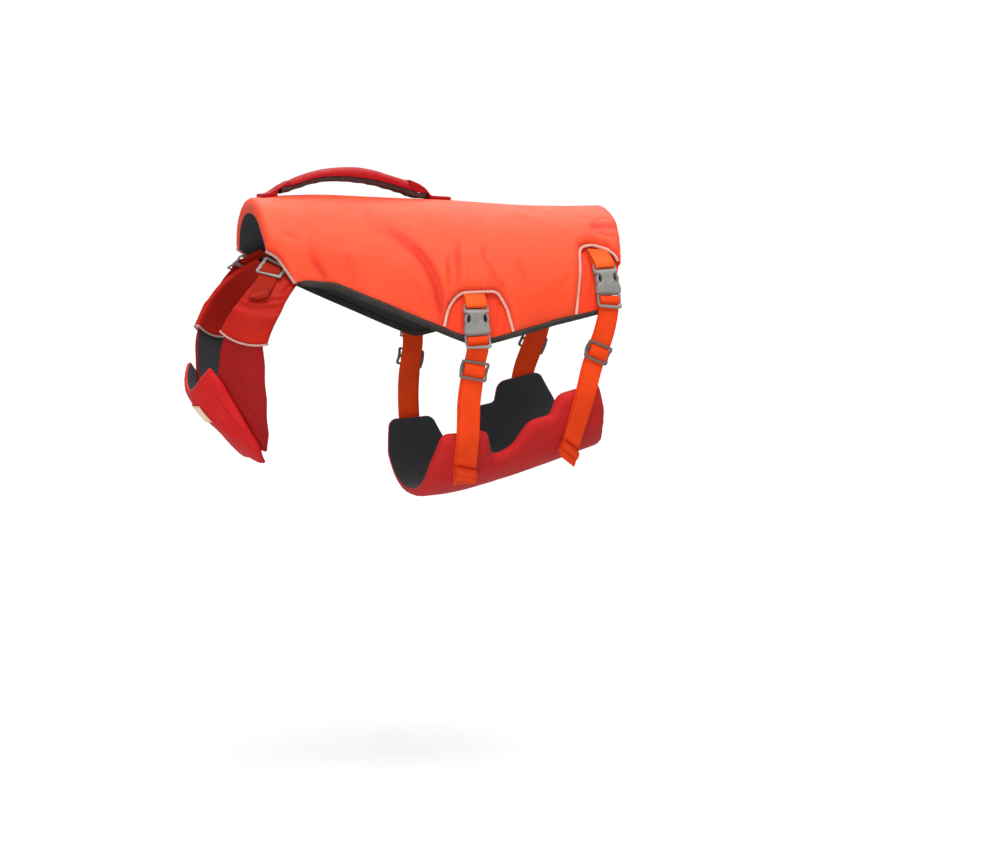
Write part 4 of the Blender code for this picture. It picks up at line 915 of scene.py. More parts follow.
# ---------------------------------------------------------------- objects
def add(name, shape, finish, slot, nodes=(), sharp=42.0, inside="lining"):
    """A named object in the frame, riding on the body and standing for the solids it replaces."""
    mesh = bpy.data.meshes.new(name)
    mesh.from_pydata((shape.points * MM).tolist(), [], shape.faces)
    lined = shape.lining < len(shape.faces)
    if lined:
        mesh.polygons.foreach_set("material_index", (np.arange(len(shape.faces)) >= shape.lining).astype(np.int32))
    work = bmesh.new()
    work.from_mesh(mesh)
    bmesh.ops.recalc_face_normals(work, faces=work.faces)
    work.to_mesh(mesh)
    work.free()
    cloth = mesh.attributes.new("cloth", "FLOAT_VECTOR", "POINT")
    cloth.data.foreach_set("vector", shape.cloth.astype(np.float32).ravel())
    mesh.shade_smooth()
    mesh.set_sharp_from_angle(angle=math.radians(sharp))
    mesh.materials.append(FINISHES[finish])
    if lined:
        mesh.materials.append(FINISHES[inside])
    piece = bpy.data.objects.new(name, mesh)
    bpy.context.collection.objects.link(piece)
    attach(piece, "root")
    if nodes:
        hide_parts(*nodes)
    return piece


def add_pair(name, make, finish, slot, node, **options):
    """One piece a side. make is the right-hand shape, or gives it with each side's own creases."""
    pieces = []
    for side, letter in SIDES:
        shape = make(letter) if callable(make) else make
        pieces.append(add(f"{name}_{side}", shape if letter == "R" else shape.mirrored(), finish, slot,
                          [f"{node}_{side}"], **options))
    return pieces


# ---------------------------------------------------------------- sewing
DASH = ((0.0, -0.3, 0.12), (0.2, 0.12, 0.28), (0.8, 0.12, 0.28), (1.0, -0.3, 0.12))   # along, lift, radius


def dashes(path, normal, length=STITCH, gap=STITCH_GAP):
    """A row of stitches along a path of points, on the side that the normals face."""
    s = lengths(path)
    count = int((s[-1] + gap) / (length + gap))
    starts = np.arange(count) * (length + gap) + (s[-1] - count * (length + gap) + gap) / 2

    rings = []
    for along, lift, radius in DASH:
        at = starts + along * length
        point, up = read(at, s, path), unit(read(at, s, normal))
        side = np.cross(up, unit(read(at + DASH_AHEAD, s, path) - read(at - DASH_AHEAD, s, path)))
        rings.append(np.stack([point + up * (lift + radius * math.sin(t)) + side * radius * math.cos(t)
                               for t in circle(DASH_SIDES)], axis=1))
    places = np.stack(np.broadcast_arrays(np.linspace(0, length, len(DASH))[:, None],
                                          np.arange(DASH_SIDES) * 0.3, FAR_INSIDE), axis=-1)
    return [loft(block, places) for block in np.stack(rings, axis=1)]


def sewn(form, flat, lift, **options):
    """Stitches along a flat path over a form, at the given lift."""
    flat = even(flat, 1.0)
    height = lift(flat) if callable(lift) else lift
    return dashes(on(form, *flat.T, height), outward(form, *flat.T), **options)


SEWING = {"orange": [], "red": [], "dark": [], "cream": []}


def sew(colour, shapes, both=False):
    """Keeps stitches for the one piece of their colour, with the other side's where both is true."""
    SEWING[colour] += shapes
    if both:
        SEWING[colour] += [shape.mirrored() for shape in shapes]


# ---------------------------------------------------------------- creases
def drift(s, seed, slow=37.0):
    """A slow uneven wander along a seam, the same each run."""
    return np.sin(s / slow + seed) + 0.6 * np.sin(s / (slow * 0.43) + 2.1 * seed) + 0.3 * np.sin(s / 7.3 + seed)


def puckers(distance, s, seed, depth, pitch, reach=7.0):
    """Small uneven gathers across a seam, fading away from it."""
    swell = 0.65 + 0.35 * np.sin(s / 29.0 + 3 * seed)
    return depth * swell * np.sin(2 * math.pi * s / pitch + 1.7 * drift(s, seed)) * np.exp(-(distance / reach)**2)


def bowed(u0, v0, u1, v1, bow, count=12):
    """A line between two flat places, bowed to its left by an amount in its middle."""
    start, along = np.array((u0, v0), float), np.array((u1 - u0, v1 - v0), float)
    t = np.linspace(0, 1, count)
    return (start + t[:, None] * along
            + (4 * t * (1 - t) * bow)[:, None] * left_of(along) / np.linalg.norm(along))


def crease_line(x0, angle0, x1, angle1, bow, span=TORSO_SPAN):
    """The line of a crease given by places and angles."""
    return bowed(x0, math.radians(angle0) * span, x1, math.radians(angle1) * span, bow, 16)


def fold(flat, line, reach, depth, lip):
    """How much one fold lowers the cloth: a trough, and a lower ridge beside it."""
    distance, s, side = nearest(flat, line)
    t = s / lengths(line)[-1]
    taper = smooth(4.2 * t * (1 - t) + 0.12) * (0.82 + 0.18 * np.sin(5 * t + depth * 9))
    beyond = distance * side * np.sign(lip if lip else 1)
    trough = np.exp(-(distance / (0.55 * reach))**2)
    ridge = abs(lip) * np.exp(-((beyond - 1.25 * reach) / (0.6 * reach))**2)
    return depth * taper * (trough - ridge)


def folds(flat, table, line_of):
    """How much a table's folds lower the cloth, the first five numbers of each giving its line."""
    return sum(fold(flat, line_of(*row[:5]), *row[5:]) for row in table)


def crease(flat):
    """The solids' own creases."""
    lowered = np.zeros(len(flat))
    for *ends, reach, depth in FOLDS:
        line = crease_line(*ends)
        from_end = np.minimum(np.linalg.norm(flat - line[0], axis=1), np.linalg.norm(flat - line[-1], axis=1))
        taper = np.clip(from_end / (2 * reach), 0.25, 1)
        lowered += depth * taper * np.exp(-(away(flat, line) / (0.55 * reach))**2)
    return lowered


def fine_creases(flat):
    """The cover's smaller creases, each side's own."""
    right, lowered = right_side(flat), np.zeros(len(flat))
    for letter, sign in (("R", 1), ("L", -1)):
        here = flat[:, 1] * sign >= 0
        lowered[here] += folds(right[here], [row for side, *row in FINE_FOLDS if side == letter], crease_line)
    return lowered


def soft_hills(flat, height, size, seed=0.0):
    """Broad uneven swells of stuffed cloth."""
    u, v = flat.T / size
    return height * (np.sin(u + seed) * np.sin(1.13 * v + 1 + seed) + 0.6 * np.sin(0.6 * u - 1.4 * v + 2 * seed)
                     + 0.4 * np.sin(2.3 * u + 1.7 * v + 1.3 + seed)) / 1.5


# ---------------------------------------------------------------- back panel
HEM_LINE = placed(HEM)
ARCHES = {"front": placed(FRONT_ARCH), "rear": placed(REAR_ARCH)}
NECK_LINE = placed(NECK_ARCH)
END_LINES = [placed(edge) for edge in (FRONT_EDGE, REAR_EDGE)]
CROWN_MIDDLE, NECK_SIDE = np.array((0, 0.0)), np.array((-175, 100.0))    # on and off the panel


def hem_at(x):
    """The hem's v at an x."""
    return np.interp(x, HEM_LINE[:, 0], HEM_LINE[:, 1])


def hem_between(x0, x1):
    """The hem's line from one x to another."""
    inner = HEM_LINE[(HEM_LINE[:, 0] > x0 + 1) & (HEM_LINE[:, 0] < x1 - 1)]
    return np.vstack([(x0, hem_at(x0)), inner, (x1, hem_at(x1))])


def arch_line(which):
    """An arch's line, its ends brought to the hem."""
    line = ARCHES[which].copy()
    line[0, 1] = hem_at(line[0, 0])
    if which == "front":
        line[-1, 1] = hem_at(line[-1, 0])
    return line


def back_outline():
    """The right half of the back panel's outline, from the front end's middle to the rear's."""
    front, rear = arch_line("front"), arch_line("rear")
    first, last = END_LINES
    return np.vstack([first[:-1], NECK_LINE[:-1], hem_between(NECK_LINE[-1, 0], front[0, 0])[:-1], front[:-1],
                      hem_between(front[-1, 0], rear[0, 0])[:-1], rear[:-1], last])


def seam_edge(from_hem):
    """The foam's edge at the arches' seams, thinner towards the hem."""
    return PAD_EDGE + (ARCH_EDGE - PAD_EDGE) * np.clip(from_hem / HEM_ROLL, 0, 1)


def back_lift(flat, fine=True):
    """The foam's thickness at flat places, with the cover's creases and gathers."""
    right = right_side(flat)
    to_hem, hem_s, _ = nearest(right, HEM_LINE)
    seams = [nearest(right, arch_line(which))[:2] for which in ARCHES]
    from_neck, neck_s, _ = nearest(right, NECK_LINE)
    ends = [nearest(right, line)[:2] for line in END_LINES]
    from_arch, from_end = (np.minimum(first[0], second[0]) for first, second in (seams, ends))
    from_hem = np.maximum(to_hem - BINDING_REACH - HEM_CHANNEL, 0)
    slope = np.sin(0.5 * math.pi * np.clip(from_hem / HEM_ROLL, 0, 1))
    rise = WELT_SHARE * roll(from_hem, HEM_WELT) + (1 - WELT_SHARE) * slope
    rise = rise * np.minimum(roll(from_arch, ARCH_ROLL), roll(from_neck, PAD_ROLL))
    end_rise = roll(from_end, 0.5 * PAD_ROLL)
    edge = seam_edge(from_hem)
    lift = edge + (PAD - edge) * rise * end_rise - crease(right) * rise
    if fine:
        sign = np.where(flat[:, 1] < 0, 0.0, SIDE_SEED)
        detail = soft_hills(flat, 0.28, 21.0) - fine_creases(flat)
        # distance and length along each seam, seed, depth, pitch, reach
        gathers = [(*seam, 1.3, 0.28, 9.0, 7.0) for seam in seams]
        gathers += [(from_hem, hem_s, 0.4, 0.32, 11.0, 7.0), (from_neck, neck_s, 2.2, 0.2, 7.0, 7.0)]
        gathers += [(*end, 0.9, 0.35, 12.0, 9.0) for end in ends]
        for distance, s, seed, depth, pitch, reach in gathers:
            detail += puckers(distance - GATHERED, s, seed + sign, depth, pitch, reach)
        lift = lift + detail * smooth(rise * end_rise * 1.5)
    return lift


def back_shade(flat):
    """How much painted shade darkens the cover in its creases."""
    return np.clip((crease(right_side(flat)) + 0.9 * fine_creases(flat)) / 1.75, 0, 0.9)


def back_cover():
    """The quilted cover of the back, with its stitched seams."""
    flat = Flat(mirrored_outline(back_outline()), SPACING["back"])
    flat.edge = with_painted_crease_shade(flat.edge, back_shade(flat.points))
    shape = flat.over(torso, 0, back_lift(flat.points), bulge=0.5)
    add("back_cover", shape, "shell", "shell", ["back_panel"])
    paths = []
    for line in (arch_line("front"), arch_line("rear"), NECK_LINE):
        path = moved_to(line[away(line, HEM_LINE) > SEAM_FROM_HEM], CROWN_MIDDLE, SEAM_INSET)
        paths.append(path[np.min([away(path, end) for end in END_LINES], axis=0) > SEAM_FROM_END])
    for path in paths + [moved_to(line, CROWN_MIDDLE, END_INSET) for line in END_LINES]:
        sew("orange", sewn(torso, path, lambda p: back_lift(p) + SHELL_THREAD), both=True)


INSERT_FOLDS = {    # x0, angle0, x1, angle1, bow, reach, depth, lip
    "front": ((38, 63, 35.5, 78, 1, 2.6, 0.9, 0.3), (-9, 64, -12, 76, -1, 3, 0.6, 0.3),
              (44, 68, 43, 79, 1, 2, 0.5, 0.4)),
    "rear": ((128, 40, 134, 54, -1, 2.6, 1.1, 0.4), (124, 45, 121, 66, 2, 3, 0.5, 0.3),
             (133, 56, 129, 72, 1, 3, 0.6, 0.3), (150, 60, 151, 72, 0, 3, 0.5, 0.3)),
}


def insert_lift(which, flat):
    """The soft insert's height in an arch."""
    distance, s, _ = nearest(flat, arch_line(which))
    return (INSERT + puckers(distance, s, 0.6, depth=0.22, pitch=7.5, reach=6.0)
            - folds(flat, INSERT_FOLDS[which], crease_line) + soft_hills(flat, 0.12, 12.0, 0.7))


def insert_outline(which):
    """An arch's line closed along the hem, and for the rear one along the rear edge."""
    line = arch_line(which)
    corner, back = line[-1], line[-1:]
    if which == "rear":
        corner = HEM_LINE[-1]
        back = spaced([line[-1], corner], CLOTH_STEP)
    below = hem_between(line[0, 0], corner[0])[::-1]
    return inset(np.vstack([line[:-1], back[:-1], below[:-1]]), SEAM_GAP)


def arch_inserts():
    """The unpadded cloth in the arches, each side's a little different."""
    for which in ARCHES:
        flat = Flat(insert_outline(which), SPACING["insert"])

        def make(letter):
            keep = smooth(flat.edge / 3)
            lift = INSERT + (insert_lift(which, flat.points) - INSERT) * keep
            if letter == "R":
                lift = lift + 0.15 * keep * np.sin(flat.points[:, 0] / 4.1)
            return flat.over(torso, 0, lift, bulge=0.15)

        for piece in add_pair(f"insert_{which}", make, "insert", "insert", f"arch_insert_{which}"):
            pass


def bindings():
    """Grosgrain folded over each lower edge, a little uneven where it takes the curves."""
    reach, tape = BINDING_REACH, BINDING
    low, high = -GAP, PAD_EDGE + GAP
    section = [(-reach, high), (-0.5 * reach, high), (GAP, high), (GAP, low), (-reach, low),
               (-reach, low - tape), (-0.4 * reach, low - tape), (GAP + 0.45 * tape, low - 0.85 * tape),
               (GAP + 0.85 * tape, low - 0.3 * tape), (GAP + tape, (low + high) / 2),
               (GAP + 0.85 * tape, high + 0.3 * tape), (GAP + 0.45 * tape, high + 0.85 * tape),
               (-0.2 * reach, high + 1.08 * tape), (-0.6 * reach, high + 1.05 * tape),
               (-0.92 * reach, high + 0.95 * tape), (-reach - 0.12, high + 0.4 * tape)]
    line = even(hem_between(BINDING_TIP, HEM_LINE[-1, 0]), 1.6)
    s = lengths(line)
    narrow = 0.3 + 0.7 * smooth(s / 11)
    down = left_of(headings(line))
    turn = 0.0
    rows, cloth = [], []
    for (out, lift), after in zip(section, section[1:] + section[:1]):
        wander = 0.18 * drift(s, 0.5) if out < -0.9 * reach and lift > 0 else 0.1 * drift(s, 2.0) if out > GAP else 0
        place = np.broadcast_to((out + wander) * (narrow if out < 0 else 1.0), s.shape)
        rows.append(on(torso, *(line + down * place[:, None]).T, lift))
        cloth.append(strip(s, turn))
        turn += math.dist(after, (out, lift))
    shape = lofted(rows, cloth)
    for piece in add_pair("binding_tape", shape, "binding", "binding", "binding"):
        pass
    path = line - down * (reach - BINDING_INSET)
    sew("dark", sewn(torso, path, high + tape + TAPE_THREAD, length=2.2, gap=0.8), both=True)


def pipings():
    """Reflective cords with slight flats where the sewing draws them in."""
    def plump(path):
        """The cord's radius along a path."""
        s = lengths(path)
        return PIPING_PLUMP * PIPING * (1 + 0.045 * np.sin(2 * math.pi * s / 4.3) + 0.03 * drift(s, 1.0))

    for which in ("front", "rear"):
        path = even(arch_line(which), 1.0)
        path = path[away(path, HEM_LINE) > PIPING_FROM_HEM]
        path = path[away(path, END_LINES[1]) > PIPING_FROM_REAR]
        middle = path.mean(axis=0) + (0, 20)
        edge = seam_edge(np.maximum(away(path, HEM_LINE) - BINDING_REACH - HEM_CHANNEL, 0))
        lift = np.maximum(INSERT + GAP + PIPING, edge - PIPING_SUNK)
        shape = cord(on(torso, *moved_to(path, middle, PIPING + GAP).T, lift), plump(path))
        add_pair(f"piping_{which}_cord", shape, "piping", "piping", f"piping_{which}")
    path = moved_to(even(NECK_LINE, 1.4), NECK_SIDE, PIPING + GAP)
    shape = cord(on(torso, *path.T, PAD_EDGE), plump(path))
    add_pair("piping_neck_cord", shape, "piping_neck", "piping", "piping_neck")


# ---------------------------------------------------------------- belly panel
BELLY_FOLDS = (   # x0, angle0, x1, angle1, bow, reach, depth, lip
    (-6, 8, -2, 42, 3, 5, 0.7, 0.3), (24, 10, 30, 40, -3, 6, 0.6, 0.3), (48, 8, 60, 34, 4, 7, 0.8, 0.3),
    (78, 14, 80, 44, -3, 6, 0.6, 0.2), (92, 30, 100, 55, 2, 4, 0.7, 0.4), (128, 12, 138, 50, 4, 6, 0.6, 0.3),
    (10, -30, 14, -8, 2, 6, 0.5, 0.2), (64, -30, 58, -9, 3, 6, 0.6, 0.2), (106, -48, 112, -16, -3, 6, 0.6, 0.3),
    (136, -44, 144, -12, 3, 5, 0.5, 0.3), (-4, -42, -8, -16, -2, 5, 0.5, 0.3), (30, -44, 34, -18, 2, 5, 0.5, 0.3),
)


def belly_lift(flat):
    """The belly pad's thickness, with its creases and gathers."""
    half = placed(BELLY, BELLY_SPAN)
    distance, s, _ = nearest(right_side(flat), half)
    rise = roll(distance, BELLY_ROLL)
    lift = PAD_EDGE + (BELLY_PAD - PAD_EDGE) * rise
    detail = soft_hills(flat, 0.3, 17.0, 0.4)
    detail += puckers(distance - 2.5, s, np.where(flat[:, 1] < 0, 0.3, 2.4), depth=0.3, pitch=9.5)
    detail -= folds(flat, BELLY_FOLDS, lambda *ends: crease_line(*ends, BELLY_SPAN))
    return lift + detail * smooth(rise * 1.4) - 0.5 * np.exp(-((distance - 2.6) / 0.9)**2)


def belly_cover():
    """The belly pad and its row of stitches."""
    half = placed(BELLY, BELLY_SPAN)
    flat = Flat(mirrored_outline(half), SPACING["belly"])
    shape = flat.over(underside, 0, belly_lift(flat.points), bulge=0.6)
    add("belly_cover", shape, "belly", "belly", ["belly_panel"])
    path = looped(inset(mirrored_outline(half), BELLY_INSET))
    sew("red", sewn(underside, path, lambda p: belly_lift(p) + CLOTH_THREAD))


# ---------------------------------------------------------------- straps
class Line:
    """A strap's line over a form: places are across it, along it and out from the form."""

    def __init__(self, form, u, v):
        self.point = form(u, v)
        self.s = lengths(self.point)
        self.normal = outward(form, u, v)
        self.side = unit(np.cross(self.normal, np.gradient(self.point, axis=0)))

    def at(self, across, along, lift):
        """Places over the line."""
        across, along, lift = np.broadcast_arrays(across, along, lift)
        point, side, normal = (read(along, self.s, table) for table in (self.point, self.side, self.normal))
        return point + side * across[..., None] + normal * lift[..., None]

    def straight(self, free, across, along, lift):
        """Places on the line's straight run on past a place."""
        ahead = unit(self.at(0, free + 0.5, 0) - self.at(0, free - 0.5, 0))
        return self.at(across, np.full(np.shape(along), free), lift) + (along - free)[:, None] * ahead

    def bend(self, shape, start, lift):
        """A shape laid along the line."""
        x, y, z = shape.points.T
        return Shape(self.at(x, y + start, z + lift), shape.faces, shape.cloth, shape.lining)

    def sewn(self, across, along, lift, place=None, **options):
        """A row of stitches over the line."""
        place = place or self.at
        lift = np.broadcast_to(lift, np.shape(along))
        points = place(across, along, lift)
        return dashes(points, place(across, along, lift + 1) - points, gap=0.7, **options)


class StrapLine(Line):
    """A strap's line round the torso, from a table of angles, places and lifts."""

    def __init__(self, rows):
        self.rows, self.angle = rows, np.linspace(rows[0, 0], rows[-1, 0], 300)
        super().__init__(torso, through(self.angle, rows[:, 0], rows[:, 1]), np.radians(self.angle) * TORSO_SPAN)

    def along(self, degrees):
        """How far along it an angle is."""
        return float(np.interp(degrees, self.angle, self.s))

    def low(self, along):
        """How high it lies."""
        return np.interp(along, self.s, through(self.angle, self.rows[:, 0], self.rows[:, 2]))


# Half of a tape's section, from one selvedge to the other: across (of half the width), half thickness.
TAPE = ((-1.0, 0.45), (-0.965, 0.85), (-0.9, 1.0), (-0.6, 0.96), (-0.2, 1.0), (0.2, 0.97), (0.6, 1.0),
        (0.9, 1.0), (0.965, 0.85), (1.0, 0.45))


def tape(line, corners, seed, slant, width=WEB_WIDTH, free=None, aside=0.0, dim=()):
    """Flat webbing along (along, lift, radius) corners over a line, and its length. Its layer after
    the turn lies a little aside, and runs on straight past the place where it hangs free. It has
    painted shade at the dim places of (along, reach), where other layers would shade it."""
    path = even(rounded(corners, 1.5, 14), WEB_STEP)
    up = left_of(headings(path))
    s = lengths(path)
    tail = s > s[path[:, 0].argmin()]
    shift = aside * tail * smooth((path[:, 0] - path[:, 0].min() - ASIDE_FROM) / ASIDE_OVER)
    shadow = np.zeros(len(s))
    for place, reach in dim:
        shadow = np.maximum(shadow, smooth(1 - np.abs(path[:, 0] - place) / reach))
    sections, cloth = [], []
    for side in (1, -1):
        for share, half in TAPE[::side]:
            edge = path + up * side * half * WEB / 2
            wander = 0.12 * drift(s, seed + 2 * np.sign(share), 24.0) * smooth((abs(share) - 0.3) / 0.6)
            across = share * width / 2 + 0.5 * wander * np.sign(share) + shift
            along = edge[:, 0] + (across - shift) * slant(edge[:, 0])
            points = line.at(across, along, edge[:, 1])
            if free is not None:
                straight = line.straight(free, across, along, edge[:, 1])
                points = np.where((tail & (path[:, 0] > free))[:, None], straight, points)
            sections.append(points)
            # the distance from a selvedge or a cut end, by which the finish paints shade, lowered further at the dim
            # places as painted shade
            inside = np.minimum((1 - abs(share)) * width / 2, 0.3 + np.minimum(s, s[-1] - s))
            inside = np.where(shadow > 0, np.minimum(inside, 1.1 - 2.1 * shadow), inside)
            cloth.append(strip(share * width / 2, s, inside))
    return lofted(sections, cloth), s[-1]


def over_slider(middle, low, over):
    """The way of a strap under a slider's ends and over its middle bar."""
    return [(middle + along, low + raised * over, bend) for along, raised, bend in SLIDER_WAY]


def strap_corners(line, marks):
    """The strap's way: up from the belly, round the plug's bar, and back down as the tail."""
    bar, slider, tail_end = marks["joint"] + PLUG_BAR, marks["slider"], marks["tail"]
    stacked = WEB + GAP
    way = [(along, line.low(along), EASY) for along in np.linspace(marks["end"], bar + 14, 12)]
    way += [(bar + 6, BUCKLE_LIFT - TURN, 8), (bar - TURN, BUCKLE_LIFT - TURN, TURN),
            (bar - TURN, BUCKLE_LIFT + TURN, TURN), (bar + 2.2, BUCKLE_LIFT + TURN, 1.4),
            (bar + 5.0, BUCKLE_LIFT - TURN + stacked + CLEAR, 1.4),
            (bar + 10, line.low(bar + 10) + stacked + CLEAR, 8)]
    way += over_slider(slider, line.low(slider) + stacked, SLIDER_THICK + 2 * GAP)
    way += [(along, line.low(along) + stacked + CLEAR, EASY)
            for along in np.linspace(slider + 19, tail_end, 10)]
    out, back = way[-1][1], tail_end - TAIL_HEM
    return way[:-1] + [(tail_end, out, stacked / 2), (tail_end, out + stacked, stacked / 2),
                       (back, out + stacked, stacked / 2), (back, out + 2 * stacked, stacked / 2),
                       (back + TAIL_BAND, out + 2 * stacked, 0)]


def loop_corners(root, joint):
    """The short loop from under the arch, round the socket's bar and back."""
    bar = joint + SOCKET_BAR
    low = INSERT + GAP + WEB / 2
    reach = (bar - root) / 2
    return [(root, low, 0), (bar - reach, low, 10), (bar - 0.5, BUCKLE_LIFT - TURN, 0.6),
            (bar + TURN, BUCKLE_LIFT - TURN, TURN), (bar + TURN, BUCKLE_LIFT + TURN, TURN),
            (bar - 1, BUCKLE_LIFT + TURN, 3), (bar - reach, BUCKLE_LIFT, 8), (root, low + WEB + GAP, 0)]


def box(half, start, end):
    """The corners of a box across a line."""
    return np.array(((-half, start), (half, start), (half, end), (-half, end)), float)


def slot(half, start, end):
    """The outline of a slot across a buckle or a slider."""
    return spaced(looped(box(half, start, end)), HARD_STEP)[:-1]


def side_outline(rows):
    """The outline of a moulded part, from its right half."""
    return mirrored_outline(rounded(rows, HARD_STEP, 16))


def soft_edge(edge, radius):
    """How far a rounded edge falls below the face, at distances from it."""
    t = np.clip(1 - edge / radius, 0, 1)
    return radius * (1 - np.sqrt(np.clip(1 - t * t, 0, 1)))


def moulded(outline, top, bottom, holes=(), radius=0.7, spacing=1.5, rings=(0.22, 0.6)):
    """A moulded plastic shape: top and bottom give its faces, and all its edges are rounded."""
    flat = Flat(outline, spacing, rings=rings, holes=holes, halvings=0)
    x, y = flat.points.T
    drop = soft_edge(flat.edge, radius)
    shape = flat.wall(np.column_stack([x, y, bottom(x, y) + drop]), np.column_stack([x, y, top(x, y) - drop]), rows=1)
    shape.lining = len(shape.faces)
    return shape


def socket_parts():
    """The buckle's socket with its barred slot, side windows, ridges and pressed oval."""
    def body(y):
        """0 over the slot's bar, 1 over the socket's body."""
        return smooth((y + 22.0) / 2.8)

    def top(x, y):
        """The slot's bar, and the crowned body with its oval, two ridges and raised mouth."""
        crown = 1 - 0.22 * (np.abs(x) / 12.0)**2 - 0.12 * np.clip((y + 5) / 5, 0, 1)
        high = BAR_HALF + (SOCKET_HALF * crown - BAR_HALF) * body(y)
        press = 0.35 * smooth(1.25 - np.hypot(x / 3.2, (y + 11.0) / 7.5)) * body(y)
        ridge = 0.4 * np.exp(-((np.abs(x) - 4.9) / 0.5)**2) * smooth((y + 18.2) / 1.5) * smooth((-1.6 - y) / 2.5)
        lip = 0.3 * smooth((y + 1.6) / 0.6) * body(y)
        return high - press + ridge + lip

    def bottom(x, y):
        """The level underside."""
        return -(BAR_HALF + (SOCKET_HALF - BAR_HALF) * body(y))

    half, start, end = SOCKET_SLOT
    opening = closed([(-half, start, 0.5), (half, start, 0.5), (half, end, 2.6), (-half, end, 2.6)], HARD_STEP, 22)
    shell = moulded(side_outline(SOCKET), top, bottom, holes=[opening])
    window = closed([(x, y, 1.0) for x, y in ((5.6, -18.2), (9.6, -17.4), (9.6, -10.2), (5.6, -9.2))], HARD_STEP, 30)
    # a plate low under each window, whose faces take the near-black inside finish: painted shade, so that each window
    # shows as a dark hollow
    floor = moulded(window, lambda x, y: -2.2 + 0 * x, lambda x, y: -3.1 + 0 * x, radius=0.2, spacing=2.0, rings=())
    base = joined([shell, floor, floor.mirrored((-1, 1, 1))])
    base.lining = len(shell.faces)
    return base


def plug_parts():
    """The plug's prongs with finger pads, its barred frame and its raised end bar."""
    def middle(y):
        """The plug's middle plane, higher at its end bar."""
        return 2.0 * smooth((y - 7.4) / 2.8)

    def half(y):
        """Half the plug's thickness."""
        pad = 1.7 * smooth((-8.2 - y) / 1.2) * smooth((y + 18.2) / 1.2)
        grips = 0.12 * np.sin(y * 4.2) * (pad > 1.0)
        return np.where(y > 1.2, BAR_HALF, PLUG_HALF) + pad + grips

    return moulded(side_outline(PLUG), lambda x, y: middle(y) + half(y), lambda x, y: middle(y) - half(y),
                   holes=[slot(*hole) for hole in PLUG_SLOTS], radius=0.55)


def slider_part(width):
    """A slider's rounded frame: its end bars rise over the tape, and its middle bar is ribbed."""
    def low(y):
        """The slider's underside."""
        return SLIDER_RISE * smooth((np.abs(y) - 2.2) / 3.4)

    def ribs(y):
        """Small ribs on the middle bar."""
        return 0.14 * np.sin(y * 4.6) * (np.abs(y) < 1.3)

    half = width / 2 + SLIDER_FRAME
    outline = closed([(x, y, SLIDER_CORNER) for x, y in box(half, -SLIDER_LONG, SLIDER_LONG)], HARD_STEP, 16)
    return moulded(outline, lambda x, y: low(y) + SLIDER_THICK + ribs(y), lambda x, y: low(y),
                   holes=[slot(width / 2 + SLIDER_CLEAR, *ends) for ends in SLIDER_SLOTS], radius=0.62)


def box_and_cross(x0, y0, x1, y1):
    """The sides of a sewn box and its two diagonals, as paths."""
    a, b, c, d = (x0, y0), (x1, y0), (x1, y1), (x0, y1)
    return [even(np.array(pair, float), 0.8) for pair in ((a, b), (b, c), (c, d), (d, a), (a, c), (b, d))]


def straps():
    """Each strap's loop, webbing, buckle and slider."""
    socket, plug, slider = socket_parts(), plug_parts(), slider_part(WEB_WIDTH)
    for which, rows in (("front", FRONT_STRAP), ("rear", REAR_STRAP)):
        line = StrapLine(rows)
        marks = {mark: line.along(degrees) for mark, degrees in STRAP_MARKS[which].items()}
        root, slide, tail = marks["root"], marks["slider"], marks["tail"]
        lean, turn = LOOP_SLANT[which], TAIL_TURN[which]
        # painted shade on the strap under and just past the folded tail's layers
        dim = ((tail - TAIL_HEM - 1.0, 5.0), (tail - TAIL_HEM + TAIL_BAND + 0.6, 1.6))
        loop = tape(line, loop_corners(root - LOOP_TUCK[which], marks["joint"]), seed=1.0,
                    slant=lambda along: lean * smooth((root + 12 - along) / 9))
        strap = tape(line, strap_corners(line, marks), seed=0.3, free=marks["free"], aside=TAIL_ASIDE[which],
                     slant=lambda along: turn * smooth((along - tail + 34) / 18), dim=dim)
        for name, node, (shape, size) in (("loop", "strap_loop", loop), ("webbing", "strap", strap)):
            for piece in add_pair(f"{name}_{which}", shape, name, "webbing", f"{node}_{which}"):
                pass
        for part, name in ((socket, "socket"), (plug, "plug")):
            bent = line.bend(part, marks["joint"], BUCKLE_LIFT)
            add_pair(f"{name}_{which}", bent, "hardware", "hardware", f"buckle_{name}_{which}",
                     sharp=50.0, inside="painted_shade_plate")
        bent = line.bend(slider, slide, line.low(slide) + WEB / 2 + GAP)
        add_pair(f"adjuster_{which}", bent, "slider", "hardware", f"slider_{which}", sharp=50.0)
        strap_sewing(line, marks, turn, TAIL_ASIDE[which])


def strap_sewing(line, marks, turn, aside):
    """The lines across each strap's folded tail, and the box stitches at its sewn end."""
    end, tail = marks["end"], marks["tail"]
    across = np.linspace(-8.6, 8.6, 20)
    lift = line.low(tail) + CLEAR + WEB / 2 + 3 * (WEB + GAP)
    for back in (TAIL_HEM - 2.8, TAIL_HEM - 4.6):
        sew("orange", line.sewn(across + aside, tail - back + across * turn, lift, length=1.9,
                                place=lambda *at: line.straight(marks["free"], *at)), both=True)
    if end > tail + 8:
        rows = [line.sewn(*flat.T, line.low(flat[:, 1]) + WEB / 2 + TAPE_THREAD, length=1.9)
                for flat in box_and_cross(-BOX_INSET, tail + 1.6, BOX_INSET, end - 1.2)]
        sew("orange", sum(rows, []), both=True)


